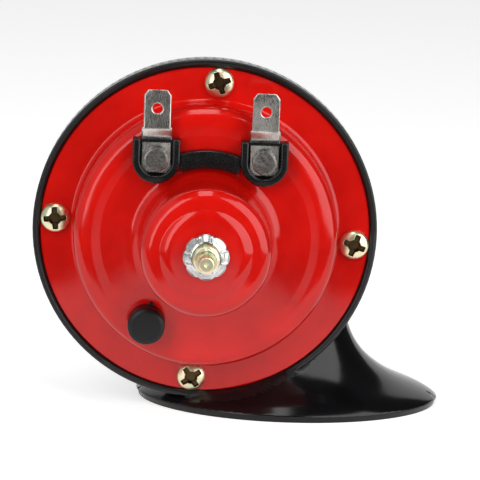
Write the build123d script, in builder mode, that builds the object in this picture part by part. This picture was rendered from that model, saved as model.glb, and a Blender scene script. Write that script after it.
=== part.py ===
"""Electromagnetic snail horn: stepped steel cup, coil drive, diaphragm and moulded snail trumpet.

The horn hangs on the stud in the middle of its cup. The origin is the seat of that stud, X runs
to the bell's side, Z is up and Y runs from the stud to the trumpet. All sizes are millimetres.

A *level* is a height above the outer face of the cup's flange, counted towards the stud, so the
cup has positive levels and the trumpet behind the flange has negative ones.
"""

import math
import os
from dataclasses import dataclass

from build123d import *

os.makedirs("parts", exist_ok=True)

# ---- driving sizes: the pressed cup ----------------------------------------------------------
cup_sheet = 0.9            # thickness of the pressed steel
dome_top_r = 14.9          # wall of the coil dome, at its shoulder
dome_shoulder_level = 27.7
shoulder_width = 4.0       # from the dome's wall to the raised crown
crown_foot_level = 28.8
crown_level = 29.7
crown_draft = 0.7          # how far the crown's edge slopes in
dome_draft = 0.4           # how far the dome's wall slopes out to its foot
ledge_level = 11.0         # the ledge that carries terminals and adjuster
ledge_width = 15.5         # from the dome's foot to the step
step_draft = 0.3           # how far the step's wall slopes out to its foot
flange_width = 8.1         # from the step's foot to the flange's rim
flange_bend = 1.0          # outer bend radii of the pressing
step_bend = 2.2
dome_foot_bend = 3.0
dome_shoulder_bend = 2.6
crown_bend = 1.3

# ---- driving sizes: screws and the stack between cup and trumpet -----------------------------
screw_count = 4
screw_margin = 3.5         # from the screws to the flange's rim
screw_turn = 86.5          # angle of the first screw, from X towards Z
screw_shank_r = 1.7
screw_head_r = 3.45
screw_head_height = 2.3
screw_length = 8.5
screw_cross = 3.6          # span of the cross recess
screw_cross_width = 0.75
screw_cross_depth = 1.3
screw_cross_taper = 12
screw_cross_turns = [20, 70, 35, 5]
screw_head_rounding = 1.5
screw_point = 0.6
screw_hole_clearance = 0.3
thread_clearance = 0.05
gasket_thickness = 0.4
gasket_width = 5.7
diaphragm_thickness = 0.3
edge_clearance = 0.15      # cup, gaskets and diaphragm inside the trumpet's lip

# ---- driving sizes: the trumpet --------------------------------------------------------------
lip_width = 1.65           # the black ring round the red flange
lip_proud = 0.6            # how far it stands above the flange
lip_rounding = 0.5
pan_back_level = -5.6      # outer face of the pan's floor
chamber_depth = 1.6        # air space behind the diaphragm
pan_rounding = 0.8
boss_r = 3.4
boss_floor = 1.2
duct_wall = 2.0
duct_floor_gap = 0.6       # between the pan's floor and the air in the duct
seam_level = -13.0         # the plane where the two mouldings are welded
throat_r = 4.0
duct_start_r = 4.5
duct_end_rx = 9.5          # half width of the duct where the bell begins
duct_end_ry = 8.6
first_bend_r = 8.0
second_bend_r = 10.0
stations_per_bend = 3
mouth_x = 21.8
mouth_z = -44.2
mouth_level = -16.6
mouth_rx = 36.7
mouth_ry = 25.6
mouth_lip_height = 1.3
mouth_lip_width = 1.5

# The bell's flare: share of the bell's growth reached at a height above the mouth.
bell_flare = [(38.0, 0.012), (30.0, 0.032), (23.0, 0.075), (17.0, 0.15), (12.5, 0.265), (9.2, 0.41),
              (6.8, 0.56), (4.9, 0.725), (3.5, 0.855), (2.3, 0.945)]

# ---- driving sizes: magnet and armature ------------------------------------------------------
stud_r = 3.0                # outside of the thread
stud_shank_r = 3.3          # plain shank that the washer is pressed on
stud_hole_clearance = 0.05
stud_thread_length = 3.4
stud_chamfer = 0.4
stud_neck_r = 2.2
stud_neck_length = 0.5
stud_tip_r = 1.8
stud_tip_length = 3.2
stud_tip_chamfer = 0.3
stud_dimple_r = 0.5
stud_dimple_depth = 0.5
core_r = 5.5
core_level = 16.0          # free end of the core
collar_clearance = 0.3     # core's collar inside the crown
collar_thickness = 3.1
washer_r = 5.35            # star washer, to the tips of its petals
washer_height = 2.6
washer_hub_r = 3.9
washer_web = 1.5
petal_count = 8
petal_r = 1.75
petal_flute_r = 1.9
petal_flute_depth = 0.45
washer_hub_chamfer = 0.4
air_gap = 0.8
plunger_r = 5.6
plunger_clearance = 0.4
tappet_r = 9.0             # the armature's flange that lifts the contact leaf
tappet_level = 2.6
tappet_thickness = 1.4
armature_hub_r = 6.5
armature_washer_r = 10.0
front_washer_thickness = 0.4
back_washer_r = 8.0
back_washer_thickness = 0.6
armature_pin_r = 2.5
armature_head_r = 3.4
armature_head_height = 0.7
pin_clearance = 0.1

# ---- driving sizes: coil ---------------------------------------------------------------------
bobbin_clearance = 1.3     # bobbin's cheeks inside the dome
bobbin_tube_r = 6.9
bobbin_cheek = 1.0
bobbin_foot_level = 10.4
winding_margin = 0.5       # from the wire to the cheeks' rims
pole_ring_thickness = 1.4
pole_ring_clearance = 0.15

# ---- driving sizes: terminals ----------------------------------------------------------------
terminal_gap = 7.54        # from the dome's foot to the terminals' rivets
terminal_angle = 56.74     # half the terminals' spread, from X towards Z
terminal_shift = 0.45      # how far both terminals stand towards the bell's side
socket_r = 5.5             # outer radius of the round end of each socket
socket_wall = 1.75
socket_rise = 4.8          # from the rivet to the socket's open end
socket_floor = 1.2
socket_height = 3.6
bridge_height = 2.6        # the bar that ties the sockets together
bridge_width = 4.2
bridge_gap = 2.0           # between the dome's foot and the bridge
bridge_rise = 13.0         # how far down its arc the bridge reaches
socket_bar_height = 0.4
bar_width = 0.8            # the thin bar across each socket's open end
insulator_clearance = 0.05
spigot_r = 2.45
tab_sheet = 0.8
tab_width = 7.0
blade_width = 6.3
blade_length = 8.6
tab_shoulder_rise = 7.6    # from the rivet to the blade's shoulders
blade_chamfer = 1.2
blade_hole_r = 0.85
blade_hole_drop = 4.3      # from the blade's tip to its hole
blade_hole_sink = 0.35
rivet_shank_r = 1.5
rivet_head_r = 2.9
rivet_head_height = 1.3
rivet_head_rounding = 0.35
rivet_tail_r = 2.6
rivet_tail_height = 0.8
rivet_clearance = 0.05

# ---- driving sizes: contact breaker and adjuster ---------------------------------------------
arm_level = 1.2            # face of the contact arm on the diaphragm's side
arm_sheet = 0.6
arm_width = 6.0
arm_pad_r = 3.6
inner_insulator_r = 3.6
leaf_sheet = 0.3
leaf_width = 4.4
leaf_rivet_z = 8.0
leaf_end_z = -9.8
contact_z = -7.6
contact_r = 1.5
fixed_point_height = 0.4
moving_point_height = 0.5
finger_width = 5.0
finger_z = -2.4
finger_reach = 1.6         # overlap of the leaf's finger on the tappet
leaf_insulator_r = 2.7
leaf_insulator = 0.4
leaf_sleeve_r = 1.6
leaf_rivet_r = 0.9
leaf_rivet_head_r = 1.9
leaf_rivet_head_height = 0.4
adjuster_share = 0.5652     # how far across the ledge it stands
adjuster_angle = 236.67    # from X towards Z
adjuster_r = 1.8
adjuster_length = 12.6
adjuster_slot = 0.7
adjuster_slot_depth = 1.0
adjuster_slot_turn = 30
bush_r = 2.3
bush_height = 1.5
plug_r = 4.35
plug_height = 5.4
plug_wall = 1.4
plug_rounding = 0.5
plug_nub_r = 0.7
plug_nub_height = 1.2
plug_nub_angle = 78

# ---- places worked out from the driving sizes ------------------------------------------------
crown_r = dome_top_r - shoulder_width
dome_foot_r = dome_top_r + dome_draft
step_top_r = dome_foot_r + ledge_width
step_foot_r = step_top_r + step_draft
flange_r = step_foot_r + flange_width
terminal_circle_r = dome_foot_r + terminal_gap
terminal_pitch = 2 * terminal_circle_r * math.cos(math.radians(terminal_angle))
terminal_z = terminal_circle_r * math.sin(math.radians(terminal_angle))
socket_top_z = terminal_z + socket_rise
tab_shoulder_z = terminal_z + tab_shoulder_rise
bridge_inner_r = dome_foot_r + bridge_gap
collar_r = crown_r - crown_draft - cup_sheet - collar_clearance
bobbin_r = dome_top_r - cup_sheet - bobbin_clearance
winding_r = bobbin_r - winding_margin
screw_circle_r = flange_r - screw_margin
adjuster_circle_r = dome_foot_r + adjuster_share * ledge_width
adjuster_x = adjuster_circle_r * math.cos(math.radians(adjuster_angle))
adjuster_z = adjuster_circle_r * math.sin(math.radians(adjuster_angle))
seat_level = crown_level + washer_height
cup_inner_level = ledge_level - cup_sheet
cup_gasket_level = -cup_sheet
diaphragm_level = cup_gasket_level - gasket_thickness
trumpet_gasket_level = diaphragm_level - diaphragm_thickness
trumpet_seat_level = trumpet_gasket_level - gasket_thickness
pan_floor_level = trumpet_seat_level - chamber_depth
pocket_r = flange_r + edge_clearance
lip_r = pocket_r + lip_width
gasket_inner_r = flange_r - gasket_width
screw_hole_r = screw_shank_r + screw_hole_clearance
boss_level = -screw_length - boss_floor
outer_bend_r = (mouth_x + first_bend_r + second_bend_r) / 2
duct_end_z = second_bend_r - first_bend_r
screw_angles = [screw_turn - 360 / screw_count * n for n in range(screw_count)]
screw_names = ["top", "right", "bottom", "left"]
tab_level = ledge_level + socket_floor
rivet_seat_level = tab_level + tab_sheet
arm_top_level = arm_level + arm_sheet
leaf_level = arm_top_level + fixed_point_height + moving_point_height
terminals = {"left": terminal_shift - terminal_pitch / 2, "right": terminal_shift + terminal_pitch / 2}
contact_arm_x = (terminals["left"] + adjuster_x) / 2
armature_hub_level = diaphragm_level + front_washer_thickness
back_washer_level = trumpet_gasket_level - back_washer_thickness
crown_inner_level = crown_level - cup_sheet
collar_level = crown_inner_level - collar_thickness
thread_end_level = seat_level + stud_thread_length
tip_foot_level = thread_end_level + stud_neck_length
tip_end_level = tip_foot_level + stud_tip_length
bobbin_bore_r = plunger_r + plunger_clearance
plunger_level = core_level - air_gap
blade_tip_z = tab_shoulder_z + blade_length


def level(height):
    """The plane at a level, with X to the right, Z up and its normal towards the stud."""
    return Plane.XZ.offset(height - seat_level)


def at(radius, height):
    """A point of a turned outline, drawn in the XY plane and turned about Y."""
    return (radius, seat_level - height)


def turned(points):
    """Face with a closed outline of (radius, level) points, for a revolve about Y."""
    with BuildLine() as outline:
        Polyline(*[at(radius, height) for radius, height in points], close=True)
    return make_face(outline.edges())


def ring(inner_r, outer_r, low, high):
    """Face of a flat ring between two levels, for a revolve about Y."""
    return turned([(inner_r, low), (outer_r, low), (outer_r, high), (inner_r, high)])


def save(builder, name):
    """Label a finished piece and write it."""
    builder.part.label = name
    export_step(builder.part, f"parts/{name}.step")


def screw_places():
    """The places of the flange screws in a level plane."""
    return [(screw_circle_r * math.cos(math.radians(angle)),
             screw_circle_r * math.sin(math.radians(angle))) for angle in screw_angles]


# ---- housing cup -----------------------------------------------------------------------------
def cup_surface():
    """The outer line of the pressing, from the crown's middle to the flange's rim."""
    corners = [(0, crown_level), (crown_r - crown_draft, crown_level), (crown_r, crown_foot_level),
               (dome_top_r, dome_shoulder_level), (dome_foot_r, ledge_level),
               (step_top_r, ledge_level), (step_foot_r, 0), (flange_r, 0)]
    bends = [crown_bend, crown_bend, dome_shoulder_bend, dome_foot_bend, step_bend, flange_bend]
    return FilletPolyline(*[at(r, height) for r, height in corners], radius=bends)


def dome_inner_r(height):
    """Radius inside the dome's sloping wall at a level."""
    share = (height - ledge_level) / (dome_shoulder_level - ledge_level)
    return dome_foot_r + (dome_top_r - dome_foot_r) * share - cup_sheet


with BuildPart() as housing_cup:
    with BuildSketch(Plane.XY):
        with BuildLine():
            cup_surface()
            offset(amount=cup_sheet, side=Side.LEFT, closed=True)
        make_face()
    revolve(axis=Axis.Y)
    with BuildSketch(level(-cup_sheet)):
        Circle(stud_shank_r + stud_hole_clearance)
        with Locations(screw_places()):
            Circle(screw_hole_r)
        with Locations([(x, terminal_z) for x in terminals.values()]):
            Circle(spigot_r + insulator_clearance)
        with Locations((adjuster_x, adjuster_z)):
            Circle(adjuster_r + thread_clearance)
    extrude(amount=cup_sheet + crown_level, mode=Mode.SUBTRACT)
save(housing_cup, "housing_cup")


# ---- gaskets and diaphragm -------------------------------------------------------------------
def clamped_ring(name, top_level, thickness, inner_r):
    """A sheet held under the flange, with its screw holes."""
    with BuildPart() as sheet:
        with BuildSketch(level(top_level - thickness)):
            Circle(flange_r)
            Circle(inner_r, mode=Mode.SUBTRACT)
            with Locations(screw_places()):
                Circle(screw_hole_r, mode=Mode.SUBTRACT)
        extrude(amount=thickness)
    save(sheet, name)


clamped_ring("cup_gasket", cup_gasket_level, gasket_thickness, gasket_inner_r)
clamped_ring("diaphragm", diaphragm_level, diaphragm_thickness, armature_pin_r + pin_clearance)
clamped_ring("trumpet_gasket", trumpet_gasket_level, gasket_thickness, gasket_inner_r)


# ---- snail trumpet ---------------------------------------------------------------------------
@dataclass
class Station:
    """One section across the duct: where it is, which way the duct runs and how wide it is."""
    x: float
    z: float
    heading: float
    rx: float
    ry: float
    height: float

    def plane(self):
        """The plane of the section: its x axis points out of the bend."""
        along = math.radians(self.heading)
        return Plane(origin=(self.x, seat_level - self.height, self.z),
                     x_dir=(-math.sin(along), 0, math.cos(along)),
                     z_dir=(math.cos(along), 0, math.sin(along)))


def snail_stations():
    """Four clockwise quarter bends round the throat, each with its own radius."""
    bends = [first_bend_r, second_bend_r, outer_bend_r, outer_bend_r]
    x, z, heading = 0.0, 0.0, -90.0
    stations = []
    for index, radius in enumerate(bends):
        centre_x = x + radius * math.sin(math.radians(heading))
        centre_z = z - radius * math.cos(math.radians(heading))
        for step in range(stations_per_bend):
            share = (index + step / stations_per_bend) / len(bends)
            turned_to = heading - 90 * step / stations_per_bend
            angle = math.radians(turned_to + 90)
            ry = duct_start_r + (duct_end_ry - duct_start_r) * share
            stations.append(Station(centre_x + radius * math.cos(angle),
                                    centre_z + radius * math.sin(angle), turned_to,
                                    duct_start_r + (duct_end_rx - duct_start_r) * share, ry,
                                    pan_back_level - duct_floor_gap - ry))
        heading -= 90
        x = centre_x + radius * math.cos(math.radians(heading + 90))
        z = centre_z + radius * math.sin(math.radians(heading + 90))
    return stations


def bell_stations():
    """Sections straight down the bell, from the last bend to the top of the mouth's lip."""
    bell_start_level = pan_back_level - duct_floor_gap - duct_end_ry
    top_rx = mouth_rx - mouth_lip_width
    top_ry = mouth_ry - mouth_lip_width
    stations = []
    for height, growth in [(duct_end_z - mouth_z, 0)] + bell_flare + [(mouth_lip_height, 1)]:
        stations.append(Station(mouth_x, mouth_z + height, -90.0,
                                duct_end_rx + (top_rx - duct_end_rx) * growth,
                                duct_end_ry + (top_ry - duct_end_ry) * growth,
                                bell_start_level + (mouth_level - bell_start_level) * growth))
    return stations


def duct_sections(grow):
    """Ellipses down the whole duct, each grown by a wall, for a loft."""
    sections = []
    for station in snail_stations() + bell_stations():
        with BuildSketch(station.plane()) as section:
            Ellipse(station.rx + grow, station.ry + grow)
        sections.append(section.sketch)
    return sections


throat_start = (0, seat_level - snail_stations()[0].height, 0)
mouth_plane = Plane((mouth_x, seat_level - mouth_level, mouth_z))

with BuildPart() as duct_air:
    loft(sections=duct_sections(0))
    with Locations(throat_start):
        Sphere(duct_start_r)
    with BuildSketch(level(snail_stations()[0].height)):
        Circle(throat_r)
    extrude(amount=trumpet_seat_level - snail_stations()[0].height)
    with BuildSketch(mouth_plane):
        Ellipse(mouth_rx - mouth_lip_width, mouth_ry - mouth_lip_width)
    extrude(amount=mouth_lip_height)
    with BuildSketch(level(pan_back_level)):
        Circle(lip_r)
        Circle(throat_r, mode=Mode.SUBTRACT)
    extrude(amount=seat_level, mode=Mode.SUBTRACT)
    with BuildSketch(level(boss_level)):
        with Locations(screw_places()):
            Circle(boss_r)
    extrude(amount=seat_level, mode=Mode.SUBTRACT)

with BuildPart() as trumpet:
    loft(sections=duct_sections(duct_wall))
    with Locations(throat_start):
        Sphere(duct_start_r + duct_wall)
    with BuildSketch(mouth_plane):
        Ellipse(mouth_rx, mouth_ry)
    extrude(amount=mouth_lip_height)
    with BuildSketch(Plane.XY) as pan_section:
        ring(0, lip_r, pan_back_level, lip_proud)
        fillet(pan_section.vertices().group_by(Axis.Y)[0].sort_by(Axis.X)[-1], lip_rounding)
        fillet(pan_section.vertices().group_by(Axis.Y)[-1].sort_by(Axis.X)[-1], pan_rounding)
    revolve(axis=Axis.Y)
    with BuildSketch(level(boss_level)):
        with Locations(screw_places()):
            Circle(boss_r)
    extrude(amount=trumpet_seat_level - boss_level)
    add(duct_air.part, mode=Mode.SUBTRACT)
    with BuildSketch(level(pan_floor_level)):
        Circle(gasket_inner_r)
    extrude(amount=chamber_depth, mode=Mode.SUBTRACT)
    with BuildSketch(level(trumpet_seat_level)):
        Circle(pocket_r)
    extrude(amount=seat_level, mode=Mode.SUBTRACT)
    with BuildSketch(level(-screw_length)):
        with Locations(screw_places()):
            Circle(screw_shank_r + thread_clearance)
    extrude(amount=seat_level, mode=Mode.SUBTRACT)

with BuildPart() as trumpet_base:
    add(trumpet.part)
    split(bisect_by=level(seam_level), keep=Keep.TOP)
save(trumpet_base, "trumpet_base")

with BuildPart() as trumpet_shell:
    add(trumpet.part)
    split(bisect_by=level(seam_level), keep=Keep.BOTTOM)
save(trumpet_shell, "trumpet_shell")


# ---- flange screws ---------------------------------------------------------------------------
def flange_screw(name, place, cross_turn):
    """A pan head screw with a cross recess."""
    with BuildPart() as screw:
        with BuildSketch(level(0)):
            with Locations(place):
                Circle(screw_head_r)
        extrude(amount=screw_head_height)
        fillet(screw.edges().group_by(Axis.Y)[0], screw_head_rounding)
        with BuildSketch(level(screw_head_height)):
            with Locations(place):
                Rectangle(screw_cross, screw_cross_width, rotation=cross_turn)
                Rectangle(screw_cross, screw_cross_width, rotation=cross_turn + 90)
        extrude(amount=-screw_cross_depth, taper=screw_cross_taper, mode=Mode.SUBTRACT)
        with BuildSketch(level(-screw_length)):
            with Locations(place):
                Circle(screw_shank_r)
        extrude(amount=screw_length)
        chamfer(screw.edges().group_by(Axis.Y)[-1], screw_point)
    save(screw, name)


for screw_name, screw_place, turn in zip(screw_names, screw_places(), screw_cross_turns):
    flange_screw(f"flange_screw_{screw_name}", screw_place, turn)


# ---- magnet: core with stud, star washer, pole ring, coil ------------------------------------
with BuildPart() as mounting_stud:
    with BuildSketch(Plane.XY):
        turned([(0, core_level), (core_r, core_level), (core_r, collar_level), (collar_r, collar_level),
                (collar_r, crown_inner_level), (stud_shank_r, crown_inner_level),
                (stud_shank_r, seat_level), (stud_r, seat_level),
                (stud_r, thread_end_level - stud_chamfer), (stud_r - stud_chamfer, thread_end_level),
                (stud_neck_r, thread_end_level), (stud_neck_r, tip_foot_level),
                (stud_tip_r, tip_foot_level), (stud_tip_r, tip_end_level - stud_tip_chamfer),
                (stud_tip_r - stud_tip_chamfer, tip_end_level), (stud_dimple_r, tip_end_level),
                (0, tip_end_level - stud_dimple_depth)])
    revolve(axis=Axis.Y)
save(mounting_stud, "mounting_stud")

with BuildPart() as star_washer:
    with BuildSketch(level(crown_level)):
        Circle(washer_r - petal_r)
        with PolarLocations(washer_r - petal_r, petal_count):
            Circle(petal_r)
    extrude(amount=washer_web)
    for petal in range(petal_count):
        turn = math.radians(petal * 360 / petal_count)
        flute = Plane((0, seat_level - crown_level - washer_web - petal_flute_r + petal_flute_depth, 0),
                      z_dir=(math.cos(turn), 0, math.sin(turn)))
        with BuildSketch(flute.offset(washer_hub_r)):
            Circle(petal_flute_r)
        extrude(amount=washer_r, mode=Mode.SUBTRACT)
    with BuildSketch(level(crown_level)):
        Circle(washer_hub_r)
    extrude(amount=washer_height)
    chamfer(star_washer.edges().group_by(Axis.Y)[0], washer_hub_chamfer)
    with BuildSketch(level(crown_level)):
        Circle(stud_shank_r + stud_hole_clearance)
    extrude(amount=washer_height, mode=Mode.SUBTRACT)
save(star_washer, "star_washer")

with BuildPart() as coil_bobbin:
    with BuildSketch(Plane.XY):
        ring(bobbin_bore_r, bobbin_tube_r, bobbin_foot_level, collar_level)
        ring(bobbin_bore_r, bobbin_r, bobbin_foot_level, bobbin_foot_level + bobbin_cheek)
        ring(bobbin_bore_r, bobbin_r, collar_level - bobbin_cheek, collar_level)
    revolve(axis=Axis.Y)
save(coil_bobbin, "coil_bobbin")

with BuildPart() as coil_winding:
    with BuildSketch(Plane.XY):
        ring(bobbin_tube_r, winding_r, bobbin_foot_level + bobbin_cheek, collar_level - bobbin_cheek)
    revolve(axis=Axis.Y)
save(coil_winding, "coil_winding")

with BuildPart() as pole_ring:
    with BuildSketch(Plane.XY):
        ring(bobbin_bore_r, dome_inner_r(bobbin_foot_level) - pole_ring_clearance,
             bobbin_foot_level - pole_ring_thickness, bobbin_foot_level)
    revolve(axis=Axis.Y)
save(pole_ring, "pole_ring")


# ---- armature on the diaphragm ---------------------------------------------------------------
with BuildPart() as armature:
    with BuildSketch(Plane.XY):
        turned([(0, plunger_level), (plunger_r, plunger_level), (plunger_r, tappet_level),
                (tappet_r, tappet_level), (tappet_r, tappet_level - tappet_thickness),
                (armature_hub_r, tappet_level - tappet_thickness), (armature_hub_r, armature_hub_level),
                (armature_pin_r, armature_hub_level), (armature_pin_r, back_washer_level),
                (armature_head_r, back_washer_level),
                (armature_head_r, back_washer_level - armature_head_height),
                (0, back_washer_level - armature_head_height)])
    revolve(axis=Axis.Y)
save(armature, "armature")

with BuildPart() as armature_front_washer:
    with BuildSketch(Plane.XY):
        ring(armature_pin_r + pin_clearance, armature_washer_r, diaphragm_level, armature_hub_level)
    revolve(axis=Axis.Y)
save(armature_front_washer, "armature_front_washer")

with BuildPart() as armature_back_washer:
    with BuildSketch(Plane.XY):
        ring(armature_pin_r + pin_clearance, back_washer_r, back_washer_level, trumpet_gasket_level)
    revolve(axis=Axis.Y)
save(armature_back_washer, "armature_back_washer")


# ---- terminals -------------------------------------------------------------------------------
def socket_outline(inset):
    """A U, round below and open above, at both terminals."""
    half = socket_r - inset
    height = socket_top_z - terminal_z
    for x in terminals.values():
        with Locations((x, terminal_z)):
            Circle(half)
        with Locations((x, terminal_z + height / 2)):
            Rectangle(2 * half, height)
    with Locations((0, socket_top_z + socket_r)):
        Rectangle(2 * terminal_pitch, 2 * socket_r, mode=Mode.SUBTRACT)


with BuildPart() as terminal_insulator:
    with BuildSketch(level(ledge_level)):
        Circle(bridge_inner_r + bridge_width)
        Circle(bridge_inner_r, mode=Mode.SUBTRACT)
        with Locations((0, bridge_inner_r + bridge_width)):
            Rectangle(terminal_pitch, 2 * bridge_rise, mode=Mode.INTERSECT)
    extrude(amount=bridge_height)
    with BuildSketch(level(ledge_level)):
        socket_outline(0)
    extrude(amount=socket_height)
    with BuildSketch(level(tab_level)):
        socket_outline(socket_wall)
    extrude(amount=socket_height, mode=Mode.SUBTRACT)
    with BuildSketch(level(rivet_seat_level + insulator_clearance)):
        with Locations([(x, socket_top_z - bar_width / 2) for x in terminals.values()]):
            Rectangle(2 * socket_r, bar_width)
    extrude(amount=socket_floor + socket_bar_height)
    with BuildSketch(Plane.XY):
        with BuildLine():
            cup_surface()
            Polyline(at(flange_r, 0), at(flange_r, -cup_sheet), at(0, -cup_sheet), at(0, crown_level))
        make_face()
    revolve(axis=Axis.Y, mode=Mode.SUBTRACT)
    with BuildSketch(level(cup_inner_level)):
        with Locations([(x, terminal_z) for x in terminals.values()]):
            Circle(spigot_r)
    extrude(amount=cup_sheet)
    with BuildSketch(level(cup_inner_level)):
        with Locations([(x, terminal_z) for x in terminals.values()]):
            Circle(rivet_shank_r + rivet_clearance)
    extrude(amount=cup_sheet + socket_floor, mode=Mode.SUBTRACT)
save(terminal_insulator, "terminal_insulator")


def terminal_tab(side, x):
    """A flat blade terminal, riveted through its round end."""
    with BuildPart() as tab:
        with BuildSketch(level(tab_level)) as outline:
            with Locations((x, (tab_shoulder_z + blade_tip_z) / 2)):
                Rectangle(blade_width, blade_tip_z - tab_shoulder_z)
            chamfer(outline.vertices().group_by(Axis.Y)[-1], blade_chamfer)
            with Locations((x, (terminal_z + tab_shoulder_z) / 2)):
                Rectangle(tab_width, tab_shoulder_z - terminal_z)
            with Locations((x, terminal_z)):
                Circle(tab_width / 2)
                Circle(rivet_shank_r + rivet_clearance, mode=Mode.SUBTRACT)
            with Locations((x, blade_tip_z - blade_hole_drop)):
                Circle(blade_hole_r, mode=Mode.SUBTRACT)
        extrude(amount=tab_sheet)
        holes = tab.edges().filter_by(GeomType.CIRCLE)
        rims = [edge for edge in holes if edge.radius < (blade_hole_r + rivet_shank_r) / 2]
        chamfer(rims, blade_hole_sink)
    save(tab, f"{side}_terminal_tab")


def post(plane, place, radius, height):
    """A round boss on a plane, added to the part being built."""
    with BuildSketch(plane) as end:
        with Locations(place):
            Circle(radius)
    extrude(end.sketch, amount=height)


def terminal_rivet(side, x):
    """A round-headed rivet from the tab to the contact plate inside the cup."""
    place = (x, terminal_z)
    with BuildPart() as rivet:
        post(level(rivet_seat_level), place, rivet_head_r, rivet_head_height)
        fillet(rivet.edges().group_by(Axis.Y)[0], rivet_head_rounding)
        post(level(arm_level), place, rivet_shank_r, rivet_seat_level - arm_level)
        post(level(arm_level), place, rivet_tail_r, -rivet_tail_height)
    save(rivet, f"{side}_terminal_rivet")


def washer(name, place, radius, bore_r, low, high):
    """A plain washer anywhere in a level plane."""
    with BuildPart() as disc:
        with BuildSketch(level(low)):
            with Locations(place):
                Circle(radius)
                Circle(bore_r, mode=Mode.SUBTRACT)
        extrude(amount=high - low)
    save(disc, name)


for side_name, side_x in terminals.items():
    terminal_tab(side_name, side_x)
    terminal_rivet(side_name, side_x)
    washer(f"{side_name}_inner_insulator", (side_x, terminal_z), inner_insulator_r,
           rivet_shank_r + rivet_clearance, arm_top_level, cup_inner_level)
washer("coil_eyelet", (terminals["right"], terminal_z), arm_pad_r, rivet_shank_r + rivet_clearance,
       arm_level, arm_top_level)


# ---- contact breaker -------------------------------------------------------------------------
leaf_place = (contact_arm_x, leaf_rivet_z)
contact_place = (contact_arm_x, contact_z)
arm_ends = [(terminals["left"], terminal_z), (adjuster_x, adjuster_z)]

with BuildPart() as contact_arm:
    with BuildSketch(level(arm_level)):
        with Locations(arm_ends):
            Circle(arm_width / 2)
        make_hull()
        with Locations(arm_ends):
            Circle(arm_pad_r)
        with Locations(arm_ends[0]):
            Circle(rivet_shank_r + rivet_clearance, mode=Mode.SUBTRACT)
        with Locations(leaf_place):
            Circle(leaf_sleeve_r + rivet_clearance, mode=Mode.SUBTRACT)
    extrude(amount=arm_sheet)
save(contact_arm, "contact_arm")

with BuildPart() as contact_leaf:
    with BuildSketch(level(leaf_level)):
        with Locations(leaf_place):
            Circle(leaf_insulator_r)
        with Locations((contact_arm_x, (leaf_rivet_z + leaf_end_z) / 2)):
            Rectangle(leaf_width, leaf_rivet_z - leaf_end_z)
        with Locations(((contact_arm_x - tappet_r + finger_reach) / 2, finger_z)):
            Rectangle(-contact_arm_x - tappet_r + finger_reach, finger_width)
        with Locations(leaf_place):
            Circle(leaf_rivet_r + rivet_clearance, mode=Mode.SUBTRACT)
    extrude(amount=leaf_sheet)
save(contact_leaf, "contact_leaf")

with BuildPart() as fixed_contact:
    post(level(arm_top_level), contact_place, contact_r, fixed_point_height)
save(fixed_contact, "fixed_contact")

with BuildPart() as moving_contact:
    post(level(leaf_level), contact_place, contact_r, -moving_point_height)
save(moving_contact, "moving_contact")

with BuildPart() as leaf_spacer:
    post(level(arm_top_level), leaf_place, leaf_insulator_r, leaf_level - arm_top_level)
    post(level(arm_level), leaf_place, leaf_sleeve_r, arm_sheet)
    with BuildSketch(level(arm_level)):
        with Locations(leaf_place):
            Circle(leaf_rivet_r + rivet_clearance)
    extrude(amount=leaf_level, mode=Mode.SUBTRACT)
save(leaf_spacer, "leaf_spacer")

leaf_top_level = leaf_level + leaf_sheet
washer("leaf_top_insulator", leaf_place, leaf_insulator_r, leaf_rivet_r + rivet_clearance,
       leaf_top_level, leaf_top_level + leaf_insulator)
washer("leaf_bottom_insulator", leaf_place, leaf_insulator_r, leaf_rivet_r + rivet_clearance,
       arm_level - leaf_insulator, arm_level)

with BuildPart() as leaf_rivet:
    post(level(leaf_top_level + leaf_insulator), leaf_place, leaf_rivet_head_r, leaf_rivet_head_height)
    post(level(arm_level - leaf_insulator), leaf_place, leaf_rivet_r,
         leaf_top_level - arm_level + 2 * leaf_insulator)
    post(level(arm_level - leaf_insulator), leaf_place, leaf_rivet_head_r, -leaf_rivet_head_height)
save(leaf_rivet, "leaf_rivet")


# ---- adjuster --------------------------------------------------------------------------------
adjuster_place = (adjuster_x, adjuster_z)
washer("adjuster_bush", adjuster_place, bush_r, adjuster_r + thread_clearance,
       cup_inner_level - bush_height, cup_inner_level)

with BuildPart() as adjusting_screw:
    post(level(arm_top_level), adjuster_place, adjuster_r, adjuster_length)
    with BuildSketch(level(arm_top_level + adjuster_length)):
        with Locations(adjuster_place):
            Rectangle(2 * adjuster_r, adjuster_slot, rotation=adjuster_slot_turn)
    extrude(amount=-adjuster_slot_depth, mode=Mode.SUBTRACT)
save(adjusting_screw, "adjusting_screw")

with BuildPart() as adjuster_plug:
    post(level(ledge_level), adjuster_place, plug_r, plug_height)
    fillet(adjuster_plug.edges().group_by(Axis.Y)[0], plug_rounding)
    nub_turn = math.radians(plug_nub_angle)
    nub_place = (adjuster_x + plug_r * math.cos(nub_turn), adjuster_z + plug_r * math.sin(nub_turn))
    with BuildSketch(level(ledge_level)):
        with Locations(nub_place):
            Circle(plug_nub_r)
    extrude(amount=plug_nub_height)
    with BuildSketch(level(ledge_level)):
        with Locations(adjuster_place):
            Circle(plug_r - plug_wall)
    extrude(amount=plug_height - plug_wall, mode=Mode.SUBTRACT)
save(adjuster_plug, "adjuster_plug")
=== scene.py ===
"""Looks of the snail horn: finishes, turned and moulded skins, light, floor and camera.

Sizes are kept in millimetres in the classes and turned to metres where a mesh is written. A *level*
is a height above the outer face of the cup's flange, counted towards the stud.
"""

import logging
import math
from collections.abc import Callable, Iterable, Sequence
from dataclasses import dataclass, field
from enum import Enum

import bmesh
import bpy
from mathutils import Matrix, Vector


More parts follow.
